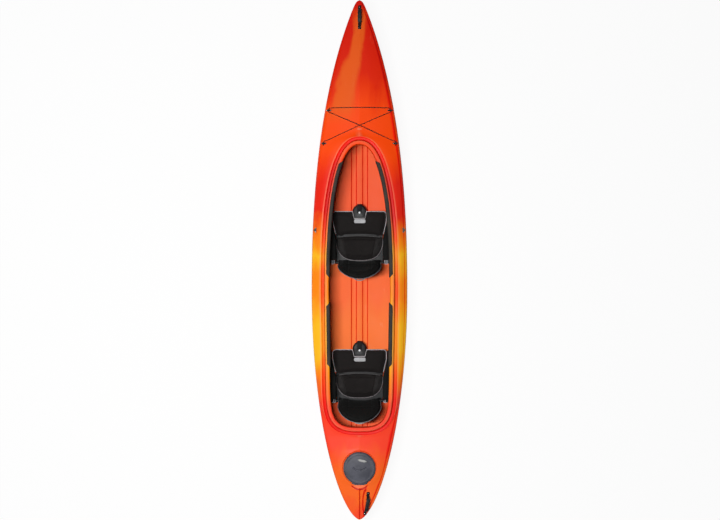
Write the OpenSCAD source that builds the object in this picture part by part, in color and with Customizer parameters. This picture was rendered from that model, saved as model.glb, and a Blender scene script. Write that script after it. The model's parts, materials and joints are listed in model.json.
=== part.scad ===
// Tandem recreational kayak: a one-piece moulded shell with one long cockpit for two paddlers.
// It has two seats with reclining backrests and lifting leg rests, four sliding foot braces,
// padded coaming, a round stern hatch, carry handles and deck rigging.
// Millimetres. +Y is the bow, +X is starboard, +Z is up, and the keel strakes stand on Z = 0.

/* [Shell] */
// Length from the bow tip to the stern tip
hull_length = 4110; // [4000:10:4300]
// Greatest beam over the gunwales
hull_beam = 764; // [744:2:800]
// Place of the greatest beam along the hull
widest_y = -245; // [-300:5:-180]
// Height of the gunwale amidships
gunwale_height = 224; // [214:1:236]
// Rise of the sheer at the bow
bow_rise = 86; // [60:1:110]
// Rise of the sheer at the stern
stern_rise = 56; // [40:1:80]
// Distance from midships at which the keel starts to curve up
rocker_start = 1180; // [1150:10:1250]
// Thickness of the moulded wall
wall = 5; // [4:0.5:6]
// Depth of the two keel strakes
strake_depth = 7; // [5:0.5:9]
// Distance of a strake's middle from the keel line
strake_offset = 46; // [44:1:50]
// Width of a strake's flat
strake_width = 36; // [32:1:40]

/* [Cockpit] */
// Distance from the bow tip to the cockpit opening
bow_deck_length = 1145; // [1125:5:1165]
// Distance from the stern tip to the cockpit opening
stern_deck_length = 735; // [720:5:750]
// Width of the cockpit opening
cockpit_width = 486; // [476:2:492]
// Height of the coaming's top amidships
coaming_height = 318; // [310:1:326]
// Extra height of the coaming at its front end
coaming_rise = 46; // [30:1:60]
// Width of the rolled lip of the coaming
lip_width = 33; // [30:1:36]
// Depth of the coaming's inner wall
lip_drop = 45; // [40:1:52]
// Depth of the spray skirt groove under the lip
groove_depth = 31; // [27:1:34]
// Reach of the raised ledge round the coaming, from the opening
ledge_reach = 66; // [60:1:70]

/* [Stern hatch] */
// Distance of the hatch's middle behind the cockpit opening
hatch_reach = 322; // [310:2:340]
// Height of the deck at the hatch
hatch_height = 300; // [292:1:306]
// Radius of the hatch opening
hatch_radius = 100; // [90:1:104]
// Width of the moulded collar round the opening
collar_width = 16; // [15:0.5:18]
// Height of the collar above the deck
collar_height = 14; // [12:0.5:16]
// Reach of the recess round the hatch, from the opening
hatch_ledge = 40; // [38:1:42]

/* [Seats] */
// Distance of the front seat's rear edge behind the cockpit's front end
front_seat_reach = 910; // [890:5:930]
// Distance of the rear seat's rear edge ahead of the cockpit's rear end
rear_seat_reach = 200; // [190:5:220]
// Width of the seat cushion
seat_width = 382; // [370:2:390]
// Depth of the seat cushion
seat_depth = 200; // [190:1:210]
// Height of the seat pan's top
pan_height = 66; // [62:1:72]
// Thickness of the seat cushion at its middle
cushion_thickness = 40; // [34:1:46]
// Width of the leg rest at its front
leg_rest_width = 436; // [424:2:444]
// Length of the leg rest, from its hinge
leg_rest_length = 192; // [180:1:200]
// Slope of the leg rest at rest, in degrees
leg_rest_slope = 6; // [4:0.5:8]
// Height of the leg rest's hinge
leg_hinge_height = 88; // [84:1:92]
// Width of the backrest
back_width = 344; // [336:2:350]
// Height of the backrest above its hinge
back_height = 312; // [280:2:330]
// Height of the backrest's hinge
back_hinge_height = 132; // [126:1:138]
// Recline of the backrest at rest, in degrees
back_recline = 18; // [12:1:22]
// Thickness of the backrest pad at its middle
back_pad_thickness = 36; // [28:1:40]
// Radius of the backrest's hinge pins
back_pin_radius = 4; // [3:0.5:5]

/* [Foot braces] */
// Length of a foot brace rail
rail_length = 390; // [360:5:400]
// Height of the rails' middle above the keel
rail_height = 136; // [130:1:142]
// Distance of the front rails' middle ahead of the front seat
front_rail_reach = 985; // [960:5:1000]
// Distance of the rear rails' middle ahead of the rear seat
rear_rail_reach = 1010; // [980:5:1040]
// Width of a pedal, from its rail
pedal_width = 84; // [70:1:90]
// Height of a pedal
pedal_height = 118; // [100:1:124]

/* [Deck fittings] */
// Distance of the deck cord's eyes in from the hull's side
eye_inset = 34; // [30:1:40]
// Distance of the front deck eyes ahead of the cockpit opening
front_eye_reach = 275; // [260:1:290]
// Distance of the rear deck eyes ahead of the cockpit opening
rear_eye_reach = 15; // [5:1:25]
// Distance of the side eyes in from the hull's side
side_eye_inset = 27; // [25:1:30]
// Distance of the side eyes behind the cockpit's front end
side_eye_reach = 670; // [655:1:685]
// Radius of the hole in an eye
eye_hole_radius = 5.5; // [4.5:0.25:6]
// Radius of the elastic deck cord
cord_radius = 3; // [2.5:0.25:3.5]
// Distance between the two feet of a carry handle
handle_span = 186; // [176:1:196]
// Rise of a carry handle above its feet
handle_rise = 42; // [36:1:48]
// Distance of the bow handle's middle from the bow tip
bow_handle_inset = 137; // [130:1:150]
// Distance of the stern handle from the middle line, at its middle
stern_handle_x = 56; // [52:1:60]
// Distance of the stern handle's middle from the stern tip
stern_handle_inset = 130; // [123:1:137]
// Turn of the stern handle along the deck's edge, in degrees
stern_handle_turn = -9; // [-12:0.5:-6]

/* [Hidden] */
$fn = 48;

// Clearances: seated pieces, running pins, and pieces against the faceted shell
seat_gap = 0.3;
pin_gap = 0.05;
shell_gap = 0.7;

hull_colour = "orangered";
trim_colour = "dimgray";
fabric_colour = "#2b2b2e";
plastic_colour = "#3a3b40";
metal_colour = "silver";

half_length = hull_length / 2;
cockpit_half = cockpit_width / 2;
cockpit_front = half_length - bow_deck_length;
cockpit_rear = stern_deck_length - half_length;
hatch_y = cockpit_rear - hatch_reach;
front_seat_y = cockpit_front - front_seat_reach;
rear_seat_y = cockpit_rear + rear_seat_reach;
front_rail_y = front_seat_y + front_rail_reach;
rear_rail_y = rear_seat_y + rear_rail_reach;
bow_handle_y = half_length - bow_handle_inset;
stern_handle_y = stern_handle_inset - half_length;
front_eye_y = cockpit_front + front_eye_reach;
rear_eye_y = cockpit_front + rear_eye_reach;
side_eye_y = cockpit_front - side_eye_reach;

// Fullness of the plan shape, as the two powers of the waterline formula
bow_fullness = 2.3;
bow_fineness = 0.8;
stern_fullness = 2;
stern_fineness = 0.62;
// Squareness of the bilge amidships and at the ends
bilge_mid = 3.2;
bilge_end = 1.9;

function mix(a, b, t) = a + (b - a) * t;
function clamp01(v) = min(1, max(0, v));
function unit(v) = v / norm(v);
function steps(n) = [for (k = [0 : n]) k / n];

// Lines of the hull at a place y along it
function half_beam(y) =
    let (ahead = (y - widest_y) / (half_length - widest_y), behind = (widest_y - y) / (half_length + widest_y))
    hull_beam / 2 * (y > widest_y
        ? pow(1 - pow(ahead, bow_fullness), bow_fineness)
        : pow(1 - pow(behind, stern_fullness), stern_fineness));
function gunwale_z(y) = gunwale_height + (y > 0 ? bow_rise : stern_rise) * pow(y / half_length, 2);
function tip_z(y) = gunwale_z(y > 0 ? half_length : -half_length);
function keel_z(y) =
    let (share = clamp01((abs(y) - rocker_start) / (half_length - rocker_start)))
    tip_z(y) * (1 - sqrt(1 - pow(share, 2.4)));
function bilge(y) = mix(bilge_mid, bilge_end, pow(y / half_length, 2));
strake_end = 300;
strake_fade = 500;
function strake_share(y) = clamp01((half_length - abs(y) - strake_end) / strake_fade);
function bottom_z(y) = keel_z(y) + strake_depth * strake_share(y);

// A point of the hull's side or bottom: the angle is 90 at the gunwale and 0 at the keel
side_angles = [80, 70, 60, 48, 36, 24, 13];
function side_point(y, angle, t) =
    let (e = 2 / bilge(y), low = bottom_z(y) + t, high = gunwale_z(y))
    [(half_beam(y) - t) * pow(sin(angle), e), y, high - (high - low) * pow(cos(angle), e)];
function bottom_at(x, y, t) =
    let (n = bilge(y), low = bottom_z(y) + t, high = gunwale_z(y))
    high - (high - low) * pow(1 - pow(x / (half_beam(y) - t), n), 1 / n);

// The keel's two strakes, from their outer bevel to the middle line
strake_bevel = 8;
keel_beam = 260;
function keel_narrow(y) = min(1, half_beam(y) / keel_beam);
function strake_edge(y, t) = (strake_offset + strake_width / 2 + strake_bevel - t * tan(22.5)) * keel_narrow(y);
function keel_points(y, t) =
    let (narrow = keel_narrow(y), shift = t * tan(22.5), edge = strake_edge(y, t),
         outer = strake_offset + strake_width / 2, inner = strake_offset - strake_width / 2,
         flat = keel_z(y) + t, tunnel = bottom_z(y) + t)
    [[edge, y, bottom_at(edge, y, t)],
     [(outer - shift) * narrow, y, flat],
     [(inner + shift) * narrow, y, flat],
     [(inner - strake_bevel + shift) * narrow, y, tunnel],
     [0, y, tunnel]];
// The side's points end outside the strakes, also near the tips where the bottom is narrow
strake_clear = 1.2;
function side_end(y, t) =
    max(side_angles[len(side_angles) - 1],
        asin(pow(min(0.9, strake_clear * strake_edge(y, t) / (half_beam(y) - t)), bilge(y) / 2)));
function side_points(y, t) =
    let (first = side_angles[0], last = side_angles[len(side_angles) - 1])
    [for (a = side_angles) side_point(y, mix(first, side_end(y, t), (first - a) / (first - last)), t)];

// The cockpit opening: half its width at a place y, and the height of the coaming's top
widest_reach = 1150;
cockpit_middle = cockpit_front - widest_reach;
rear_taper = 0.06;
function rim_x(y) =
    let (ahead = (y - cockpit_middle) / (cockpit_front - cockpit_middle),
         behind = (cockpit_middle - y) / (cockpit_middle - cockpit_rear))
    cockpit_half * (y > cockpit_middle
        ? pow(1 - pow(ahead, 2.5), 0.45)
        : pow(1 - pow(behind, 14), 0.35) * (1 - rear_taper * behind));
function rim_z(y) =
    coaming_height + coaming_rise * pow(clamp01((y - cockpit_middle) / (cockpit_front - cockpit_middle)), 2);

// Profiles across the coaming and the hatch collar: reach from the opening, and height
lip_round = 9;
function coaming_profile(t) = t == 0
    ? [[0, -lip_drop], [0, -lip_round], [4, -2], [14, 0], [lip_width - 7, -1], [lip_width, -lip_round],
       [lip_width + 5, -groove_depth], [ledge_reach, 5 - groove_depth]]
    : [[t, -lip_drop], [t, -lip_round - 2], [t + 4, -t - 1], [14, -t], [lip_width - t - 4, -t - 1],
       [lip_width - t, -lip_round - 2], [lip_width + 1, -groove_depth - t],
       [ledge_reach, 5 - groove_depth - t]];
collar_skirt = 22;
recess_depth = 6;
function collar_profile(t) = t == 0
    ? [[0, -collar_skirt], [0, collar_height - 5], [4, collar_height], [collar_width - 4, collar_height],
       [collar_width, collar_height - 5], [collar_width + 1, 2 - recess_depth],
       [hatch_ledge - 8, -recess_depth],
       [hatch_ledge, 2]]
    : [[t, -collar_skirt], [t, collar_height - t - 2], [t + 1, collar_height - t],
       [collar_width - t - 1, collar_height - t], [collar_width - t, collar_height - t - 2],
       [collar_width + 1 - t, 2 - recess_depth - t], [hatch_ledge - 8, -recess_depth - t],
       [hatch_ledge, 2 - t]];
ring_rows = 8;

// Height of the deck's middle line, outside the openings
bow_ledge_y = cockpit_front + ledge_reach;
aft_ledge_y = cockpit_rear - ledge_reach;
hatch_fore_y = hatch_y + hatch_radius + hatch_ledge;
hatch_aft_y = hatch_y - hatch_radius - hatch_ledge;
tip_crown = 6;
function deck_line(y) = lookup(y, [
    [-half_length, tip_z(-1) + tip_crown], [hatch_aft_y, hatch_height + 2], [hatch_fore_y, hatch_height + 2],
    [aft_ledge_y, rim_z(cockpit_rear) + 5 - groove_depth],
    [bow_ledge_y, rim_z(cockpit_front) + 5 - groove_depth], [half_length, tip_z(1) + tip_crown]]);

// Stations from bow to stern: kind (0 deck, 1 cockpit, 2 hatch), rim point, outward normal, height,
// gunwale place
bow_count = 8;
cockpit_count = 12;
hatch_count = 10;
stern_count = 5;
function running_length(p) =
    [for (k = 0, s = 0; k < len(p); s = s + (k + 1 < len(p) ? norm(p[k + 1] - p[k]) : 0), k = k + 1) s];
function deck_station(y) = [0, [0, y], [0, 1], deck_line(y), y];
rim_places = concat(
    [for (s = steps(cockpit_count)) cockpit_middle + (cockpit_front - cockpit_middle) * (1 - pow(s, 2.2))],
    [for (k = [1 : cockpit_count])
        cockpit_middle + (cockpit_rear - cockpit_middle) * (1 - pow(1 - k / cockpit_count, 2.8))]);
rim_last = len(rim_places) - 1;
rim_points = [for (y = rim_places) [rim_x(y), y]];
rim_normals = [for (k = [0 : rim_last])
    k == 0 ? [0, 1] : k == rim_last ? [0, -1]
    : let (d = rim_points[k + 1] - rim_points[k - 1]) unit([-d[1], d[0]])];
ledge_run = running_length(rim_points + ledge_reach * rim_normals);
cockpit_stations = [for (k = [0 : rim_last])
    [1, rim_points[k], rim_normals[k], rim_z(rim_places[k]),
     mix(bow_ledge_y, aft_ledge_y, ledge_run[k] / ledge_run[rim_last])]];
hatch_stations = [for (s = steps(hatch_count))
    let (a = 180 * s, n = [s == 1 ? 0 : sin(a), cos(a)])
    [2, [0, hatch_y] + hatch_radius * n, n, hatch_height, mix(hatch_fore_y, hatch_aft_y, s)]];
stations = concat(
    [for (k = [1 : bow_count - 1]) deck_station(mix(half_length, bow_ledge_y, pow(k / bow_count, 1.7)))],
    cockpit_stations,
    [deck_station((aft_ledge_y + hatch_fore_y) / 2)],
    hatch_stations,
    [for (k = [stern_count - 1 : -1 : 1])
        deck_station(mix(-half_length, hatch_aft_y, pow(k / stern_count, 1.6)))]);
// The hollow inside stops short of the solid tips
inner_stations = [for (k = [1 : len(stations) - 2]) stations[k]];

// One half section of the shell, from the opening's edge or the middle line down to the keel
ridge_rise = 6;
ridge_half = 9;
ridge_fade = 60;
// The moulded ridge along the stern deck fades out at the hatch and at the tip
function ridge(y) = y > hatch_aft_y ? 0
    : ridge_rise * min(1, (hatch_aft_y - y) / ridge_fade, (half_length + y) / ridge_fade);
function ring_points(st, t) = st[0] == 0
    ? [for (k = [1 : ring_rows]) [0, st[4], st[3] + ridge(st[4]) - t]]
    : [for (r = st[0] == 1 ? coaming_profile(t) : collar_profile(t))
        let (p = st[1] + r[0] * st[2]) [p[0], p[1], st[3] + r[1]]];
// The deck falls gently to a moulded edge near the gunwale, then turns down: reach across, and height over
// the gunwale
edge_inset = 22;
edge_share = 0.6;
deck_crown = 0.32;
deck_rows = 6;
function deck_points(top, y, t) =
    let (width = half_beam(y) - t - top[0], low = gunwale_z(y), drop = top[2] - ridge(y) - low,
         inset = min(edge_inset, 0.3 * width), rise = edge_share * drop, middle = (width - inset) / 2,
         foot = min(ridge_half, 0.4 * middle), fall = deck_crown * (drop - rise))
    [for (p = [[foot, drop - fall * foot / middle], [middle, drop - fall], [width - inset, rise],
               [width - 0.35 * inset, 0.8 * rise], [width, 0.45 * rise], [width, 0]])
        [top[0] + p[0], mix(top[1], y, p[0] / width), low + p[1]]];
function section(st, t) =
    let (ring = ring_points(st, t), y = st[4])
    concat(ring, deck_points(ring[ring_rows - 1], y, t),
        side_points(y, t), keel_points(y, t));

// Triangles: a strip between two lines of points, sheets of strips, and both halves of a symmetrical shape
function strip(a, b) = [for (k = [0 : len(a) - 2]) each [[a[k], b[k], b[k + 1]], [a[k], b[k + 1], a[k + 1]]]];
function sheet(rows) = [for (k = [0 : len(rows) - 2]) each strip(rows[k], rows[k + 1])];
function fan(tip, line) = [for (k = [0 : len(line) - 2]) [tip, line[k], line[k + 1]]];
function flipped(tris) = [for (t = tris) [t[2], t[1], t[0]]];
function mirrored(tris) = [for (t = tris) [for (k = [2, 1, 0]) [-t[k][0], t[k][1], t[k][2]]]];
function is_face(t) =
    norm(cross(t[1] - t[0], t[2] - t[0])) > 0.01 && max([for (p = t) abs(p[0])]) > 0.001;
function column(rows, k) = [for (r = rows) r[k]];
module solid(tris) {
    faces = [for (t = tris) if (norm(cross(t[1] - t[0], t[2] - t[0])) > 0.001) t];
    polyhedron([for (t = faces) each t], [for (k = [0 : len(faces) - 1]) [3 * k, 3 * k + 1, 3 * k + 2]]);
}

outer_rows = [for (st = stations) section(st, 0)];
deck_lines = [for (r = outer_rows) [for (k = [0 : deck_rows - 1]) r[ring_rows - 1 + k]]];
deck_faces = [for (t = sheet(deck_lines)) if (is_face(t)) t];

// The deck's height and slope at a place on the starboard half
function deck_hit(t, x, y) =
    let (u = t[1] - t[0], v = t[2] - t[0], w = [x, y] - [t[0][0], t[0][1]], d = u[0] * v[1] - u[1] * v[0],
         s = (w[0] * v[1] - w[1] * v[0]) / d, r = (u[0] * w[1] - u[1] * w[0]) / d)
    min(s, r, 1 - s - r) < -0.0001 ? [] : [t[0][2] + s * u[2] + r * v[2], unit(cross(u, v) * sign(d))];
function deck_at(x, y) = [for (t = deck_faces) let (h = deck_hit(t, x, y)) if (len(h) == 2) h][0];
// Places children on the deck, upright to it
module on_deck(x, y, lift = seat_gap) {
    hit = deck_at(abs(x), y);
    n = hit[1];
    translate([x, y, hit[0]])
        rotate([-asin(n[1]), atan2(n[0] * (x < 0 ? -1 : 1), n[2]), 0])
            translate([0, 0, lift]) children();
}
// The inner wall of the shell at a height z, on the flats between the stations
station_places = [for (st = stations) st[4]];
station_table = [for (k = [0 : len(stations) - 1]) [station_places[k], k]];
function station_wall(y, z) =
    lookup(z, [for (p = concat([side_point(y, 90, wall)], side_points(y, wall))) [p[2], p[0]]]);
function wall_x(y, z) =
    let (q = lookup(y, station_table), k = floor(q))
    mix(station_wall(station_places[k], z), station_wall(station_places[k + 1], z), q - k);

module both_sides() {
    children();
    mirror([1, 0, 0]) children();
}
module rounded_square(w, l, r) {
    square([w, l - 2 * r], center = true);
    square([w - 2 * r, l], center = true);
    for (x = [-1, 1], y = [-1, 1]) translate([x * (w / 2 - r), y * (l / 2 - r)]) circle(r);
}
// An outline in the XZ plane, as thick as given along Y
module upright(thickness) {
    rotate([90, 0, 0]) linear_extrude(thickness, center = true) children();
}
// An outline in the YZ plane, as wide as given along X
module sideways(width) {
    rotate([90, 0, 90]) linear_extrude(width, center = true) children();
}

// Shell

module hull_shell() {
    inner_rows = [for (st = inner_stations) section(st, wall)];
    first = inner_rows[0];
    last = inner_rows[len(inner_rows) - 1];
    start = bow_count - 1;
    hatch_start = start + rim_last + 2;
    bow_tip = [0, half_length, tip_z(1)];
    stern_tip = [0, -half_length, tip_z(-1)];
    rims = [for (span = [[start, start + rim_last], [hatch_start, hatch_start + hatch_count]])
        each strip([for (k = [span[0] : span[1]]) inner_rows[k - 1][0]],
            [for (k = [span[0] : span[1]]) outer_rows[k][0]])];
    half = concat(
        flipped(fan(bow_tip, outer_rows[0])), fan(stern_tip, outer_rows[len(outer_rows) - 1]),
        flipped(sheet(outer_rows)), sheet(inner_rows),
        fan([0, first[0][1], mix(first[0][2], first[len(first) - 1][2], 0.5)], first),
        flipped(fan([0, last[0][1], mix(last[0][2], last[len(last) - 1][2], 0.5)], last)),
        rims);
    faces = [for (t = half) if (is_face(t)) t];
    color(hull_colour) solid(concat(faces, mirrored(faces)));
}

// A foam bulkhead that closes the stern compartment, with a ring at the shell's own station between its faces
bulkhead_thickness = 54;
module stern_bulkhead() {
    inset = wall + shell_gap;
    station = (aft_ledge_y + hatch_fore_y) / 2;
    rings = [for (y = [station + bulkhead_thickness / 2, station, station - bulkhead_thickness / 2])
        let (top = [0, y, deck_line(y) - inset],
             half = concat([top], deck_points(top, y, inset), side_points(y, inset)))
        concat(half, [for (k = [len(half) - 1 : -1 : 1]) [-half[k][0], half[k][1], half[k][2]]])];
    color("slategray") tube(rings);
}
// A closed solid through rings of points, with flat ends
module tube(rings) {
    closed = [for (r = rings) concat(r, [r[0]])];
    last = closed[len(closed) - 1];
    solid(concat(flipped(sheet(closed)), flipped(fan(middle(rings[0]), closed[0])),
        fan(middle(rings[len(rings) - 1]), last)));
}
function middle(ring) = [for (k = [0 : 2]) sum(ring, k) / len(ring)];
function sum(list, k, from = 0) = from == len(list) ? 0 : list[from][k] + sum(list, k, from + 1);

// A foam pillar that stiffens the foredeck and keeps the bow afloat, on the flats of three bow stations
pillar_width = 60;
pillar_first = 3;
pillar_last = 5;
module bow_foam_pillar() {
    half = pillar_width / 2;
    rings = [for (k = [pillar_last : -1 : pillar_first])
        let (y = station_places[k], top = deck_line(y) - wall - seat_gap, low = bottom_z(y) + wall + seat_gap,
             bend = deck_points([0, y, top], y, wall)[1], edge = mix(top, bend[2], half / bend[0]))
        [[half, y, low], [half, y, edge], [0, y, top], [-half, y, edge], [-half, y, low]]];
    color("slategray") tube(rings);
}

// Deck eyes, the elastic cord between them, and the side eyes

front_eye_x = half_beam(front_eye_y) - eye_inset;
rear_eye_x = half_beam(rear_eye_y) - eye_inset;
side_eye_x = half_beam(side_eye_y) - side_eye_inset;
eye_base_length = 40;
eye_base_width = 13;
eye_base_thickness = 3.5;
eye_lug_radius = 10;
eye_lug_thickness = 9;
eye_hole_height = 12;
eye_screw_place = 15.5;
screw_radius = 2;
screw_length = 9;
module pad_eye() {
    difference() {
        union() {
            linear_extrude(eye_base_thickness) rounded_square(eye_base_length, eye_base_width, 6);
            upright(eye_lug_thickness) {
                translate([0, eye_hole_height]) circle(eye_lug_radius);
                translate([-eye_lug_radius, 0]) square([2 * eye_lug_radius, eye_hole_height]);
            }
        }
        translate([0, 0, eye_hole_height]) rotate([90, 0, 0])
            cylinder(h = 30, r = eye_hole_radius, center = true);
        for (x = [-1, 1]) translate([x * eye_screw_place, 0, -1]) cylinder(h = 9, r = screw_radius + pin_gap);
    }
}
module deck_eye(x, y) {
    color(trim_colour) on_deck(x, y) pad_eye();
}
module side_eye(side) {
    color(trim_colour) on_deck(side * side_eye_x, side_eye_y) rotate(90) pad_eye();
}
module small_screw() {
    translate([0, 0, eye_base_thickness + 0.1]) {
        intersection() {
            cylinder(h = 2.4, r = 4);
            translate([0, 0, -3.4]) sphere(5.8);
        }
        translate([0, 0, -screw_length]) cylinder(h = screw_length + 1, r = screw_radius);
    }
}
module eye_screws() {
    color(metal_colour) {
        for (side = [-1, 1], x = [-1, 1]) {
            on_deck(side * front_eye_x, front_eye_y) translate([x * eye_screw_place, 0, 0]) small_screw();
            on_deck(side * rear_eye_x, rear_eye_y) translate([x * eye_screw_place, 0, 0]) small_screw();
            on_deck(side * side_eye_x, side_eye_y) translate([0, x * eye_screw_place, 0]) small_screw();
        }
    }
}

// The middle of an eye's hole
function eye_middle(x, y) =
    let (hit = deck_at(abs(x), y), n = hit[1])
    [x, y, hit[0]] + (eye_hole_height + seat_gap) * [n[0] * (x < 0 ? -1 : 1), n[1], n[2]];
cord_gap = 1.3;
cord_exit = 10;
function over_deck(p) =
    let (hit = deck_at(abs(p[0]), p[1]))
    [p[0], p[1], max(p[2], hit[0] + (cord_radius + cord_gap) / hit[1][2])];
// A taut run between two points that lies over the deck, lifted at its middle to pass over another run
function cord_run(a, b, count, lift) = [for (k = [1 : count - 1])
    let (s = k / count, p = over_deck(mix(a, b, s)))
    p + [0, 0, lift * pow(max(0, 1 - pow((s - 0.5) / 0.2, 2)), 2)]];
// The turn of the cord round the front of a front eye, from the diagonal to the cross run
cord_turn = [[0, -13, 0], [0, 0, 0], [-1, 9, 0], [-6, 15, -1], [-14, 18, -2], [-26, 19, -3]];
// The stopper knot behind a rear eye: place along the cord, and radius
knot_radius = 6.4;
knot_face = eye_lug_thickness / 2 + 0.7;
knot = [[-knot_face - 12, cord_radius], [-knot_face - 9, knot_radius], [-knot_face - 2, knot_radius],
    [-knot_face, cord_radius]];
module deck_bungee() {
    front = eye_middle(front_eye_x, front_eye_y);
    rear = eye_middle(rear_eye_x, rear_eye_y);
    left_rear = [-rear[0], rear[1], rear[2]];
    right_turn = [for (d = cord_turn) over_deck(front + d)];
    left_turn = [for (k = [len(cord_turn) - 1 : -1 : 0]) let (p = right_turn[k]) [-p[0], p[1], p[2]]];
    cross_over = 2 * cord_radius + cord_gap;
    path = concat(
        [for (k = knot) left_rear + [0, k[0], 0]],
        [left_rear, left_rear + [0, cord_exit, 0]],
        cord_run(left_rear + [0, cord_exit, 0], right_turn[0], 20, 0),
        right_turn,
        cord_run(right_turn[len(right_turn) - 1], left_turn[0], 12, 0),
        left_turn,
        cord_run(left_turn[len(left_turn) - 1], rear + [0, cord_exit, 0], 20, cross_over),
        [rear + [0, cord_exit, 0], rear],
        [for (k = [len(knot) - 1 : -1 : 0]) rear + [0, knot[k][0], 0]]);
    color("#1c1b1a") cord(path);
}
// A round cord of 8 sides along a path, with a knot at each end
module cord(path) {
    last = len(path) - 1;
    rings = [for (k = [0 : last])
        let (t = unit(path[min(k + 1, last)] - path[max(k - 1, 0)]), side = unit(cross(t, [0, 0, 1])),
            up = cross(side, t),
             end = min(k, last - k), r = end < len(knot) ? knot[end][1] : cord_radius)
        [for (a = [0 : 45 : 315]) path[k] + r * (cos(a) * side + sin(a) * up)]];
    tube(rings);
}

// Carry handles: a webbing strap with a moulded grip, screwed down at both ends

handle_strap_width = 25;
handle_strap_thickness = 2.4;
handle_foot = 24;
grip_length = 104;
grip_width = 30;
grip_thickness = 17;
function handle_z(y) =
    let (w = min(1, abs(y) / (handle_span / 2 - handle_foot)))
    handle_strap_thickness / 2 + handle_rise * pow(1 - pow(w, 4), 1.3);
// A band along the strap's curve, for the stretch within reach of the middle
module handle_band(reach, thickness) {
    line = [for (s = steps(32)) let (y = mix(-reach, reach, s)) [y, handle_z(y)]];
    polygon(concat(
        [for (p = line) p + [0, thickness / 2]],
        [for (k = [len(line) - 1 : -1 : 0]) line[k] - [0, thickness / 2]]));
}
module handle_strap() {
    difference() {
        sideways(handle_strap_width) handle_band(handle_span / 2, handle_strap_thickness);
        for (end = [-1, 1]) translate([0, end * (handle_span / 2 - handle_foot / 2), -1])
            cylinder(h = 9, r = screw_radius + pin_gap);
    }
}
module handle_grip() {
    difference() {
        sideways(grip_width) handle_band(grip_length / 2, grip_thickness);
        sideways(handle_strap_width + 2 * seat_gap)
            handle_band(handle_span / 2, handle_strap_thickness + 2 * seat_gap);
    }
}
module handle_fasteners() {
    for (end = [-1, 1])
        translate([0, end * (handle_span / 2 - handle_foot / 2), handle_strap_thickness - eye_base_thickness])
            small_screw();
}
// The handles' places: each foot stands on the deck
module at_bow_handle() {
    reach = handle_span / 2 - handle_foot / 2;
    slope = (deck_line(bow_handle_y + reach) - deck_line(bow_handle_y - reach)) / (2 * reach);
    translate([0, bow_handle_y, deck_line(bow_handle_y) + seat_gap]) rotate([atan(slope), 0, 0]) children();
}
// The stern handle's frame runs through its two feet, lifted until their corners clear the deck
module at_stern_handle() {
    reach = handle_span / 2 - handle_foot / 2;
    step = reach * [-sin(stern_handle_turn), cos(stern_handle_turn)];
    middle = [stern_handle_x, stern_handle_y];
    fore = deck_at(middle[0] + step[0], middle[1] + step[1]);
    aft = deck_at(middle[0] - step[0], middle[1] - step[1]);
    start = [middle[0], middle[1], (fore[0] + aft[0]) / 2];
    along = unit([2 * step[0], 2 * step[1], fore[0] - aft[0]]);
    across = unit(cross(along, fore[1] + aft[1]));
    up = cross(across, along);
    corners = [for (a = [-1, 0, 1], b = [-1, 1], c = [0, handle_foot / 2, handle_foot])
        start + a * handle_strap_width / 2 * across + b * (handle_span / 2 - c) * along];
    rises = [for (p = corners) let (hit = deck_at(p[0], p[1])) if (!is_undef(hit)) hit[0] - p[2]];
    spot = start + [0, 0, max(rises) + seat_gap];
    multmatrix([for (k = [0 : 2]) [across[k], along[k], up[k], spot[k]]]) children();
}
module bow_handle_strap() {
    color("#242426") at_bow_handle() handle_strap();
}
module bow_handle_grip() {
    color("#242426") at_bow_handle() handle_grip();
}
module stern_handle_strap() {
    color("#242426") at_stern_handle() handle_strap();
}
module stern_handle_grip() {
    color("#242426") at_stern_handle() handle_grip();
}
module handle_screws() {
    color(metal_colour) {
        at_bow_handle() handle_fasteners();
        at_stern_handle() handle_fasteners();
    }
}

// Stern hatch: a firm lid with a soft seal that grips the collar

lid_overhang = 28;
lid_skirt = 6;
lid_crown = 10;
lid_tab_width = 112;
lid_tab_reach = 10;
collar_outer = hatch_radius + collar_width + 1;
lid_radius = hatch_radius + lid_overhang;
lid_top = collar_height + 1;
module hatch_lid() {
    inside = lid_radius - lid_skirt;
    color("slategray") translate([0, hatch_y, hatch_height]) difference() {
        union() {
            rotate_extrude($fn = 96) polygon([
                [0, lid_top], [inside - 3, lid_top], [inside, lid_top - 4], [inside, -3], [lid_radius, -3],
                [lid_radius, 8], [lid_radius - 3, 13], [lid_radius - 10, lid_top + 4],
                [lid_radius - 28, lid_top + 7],
                [lid_radius - 68, lid_top + 9], [0, lid_top + lid_crown]]);
            translate([0, -lid_radius - lid_tab_reach / 2 + 2, 4]) linear_extrude(8)
                rounded_square(lid_tab_width, lid_tab_reach + 8, 4);
        }
        // The curved finger groove moulded across the lid
        translate([0, 60, lid_top + lid_crown]) rotate([0, 0, 232]) rotate_extrude(angle = 76, $fn = 96)
            translate([62, 0]) circle(5);
        // Room inside the tab for the skirt
        translate([0, 0, -4]) cylinder(h = lid_top, r = inside, $fn = 96);
    }
}
module hatch_seal() {
    color("#222426") translate([0, hatch_y, hatch_height]) rotate_extrude($fn = 96)
        polygon([
            [collar_outer + seat_gap, -3], [lid_radius - lid_skirt - 0.1, -3],
            [lid_radius - lid_skirt - 0.1, 9.5],
            [collar_outer + 1.5, 9.5], [collar_outer + seat_gap, 4]]);
}

// Thigh pads: a moulded foam hook over the coaming's lip, along a stretch of the rim

pad_depth = 9;
pad_cover = [[lip_width - 12, 5], [lip_width - 17, 9], [3, 10], [-5, 7], [1 - pad_depth, -3], [-pad_depth, -34],
    [2 - pad_depth, -62]];
pad_lining = [[lip_width - 12, seat_gap], [lip_width - 17, 0.5], [10, 0.5], [1, 0.6], [-1.2, -5],
    [-0.8, -34], [-2.5, -64]];
pad_end_slope = 0.9;
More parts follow.
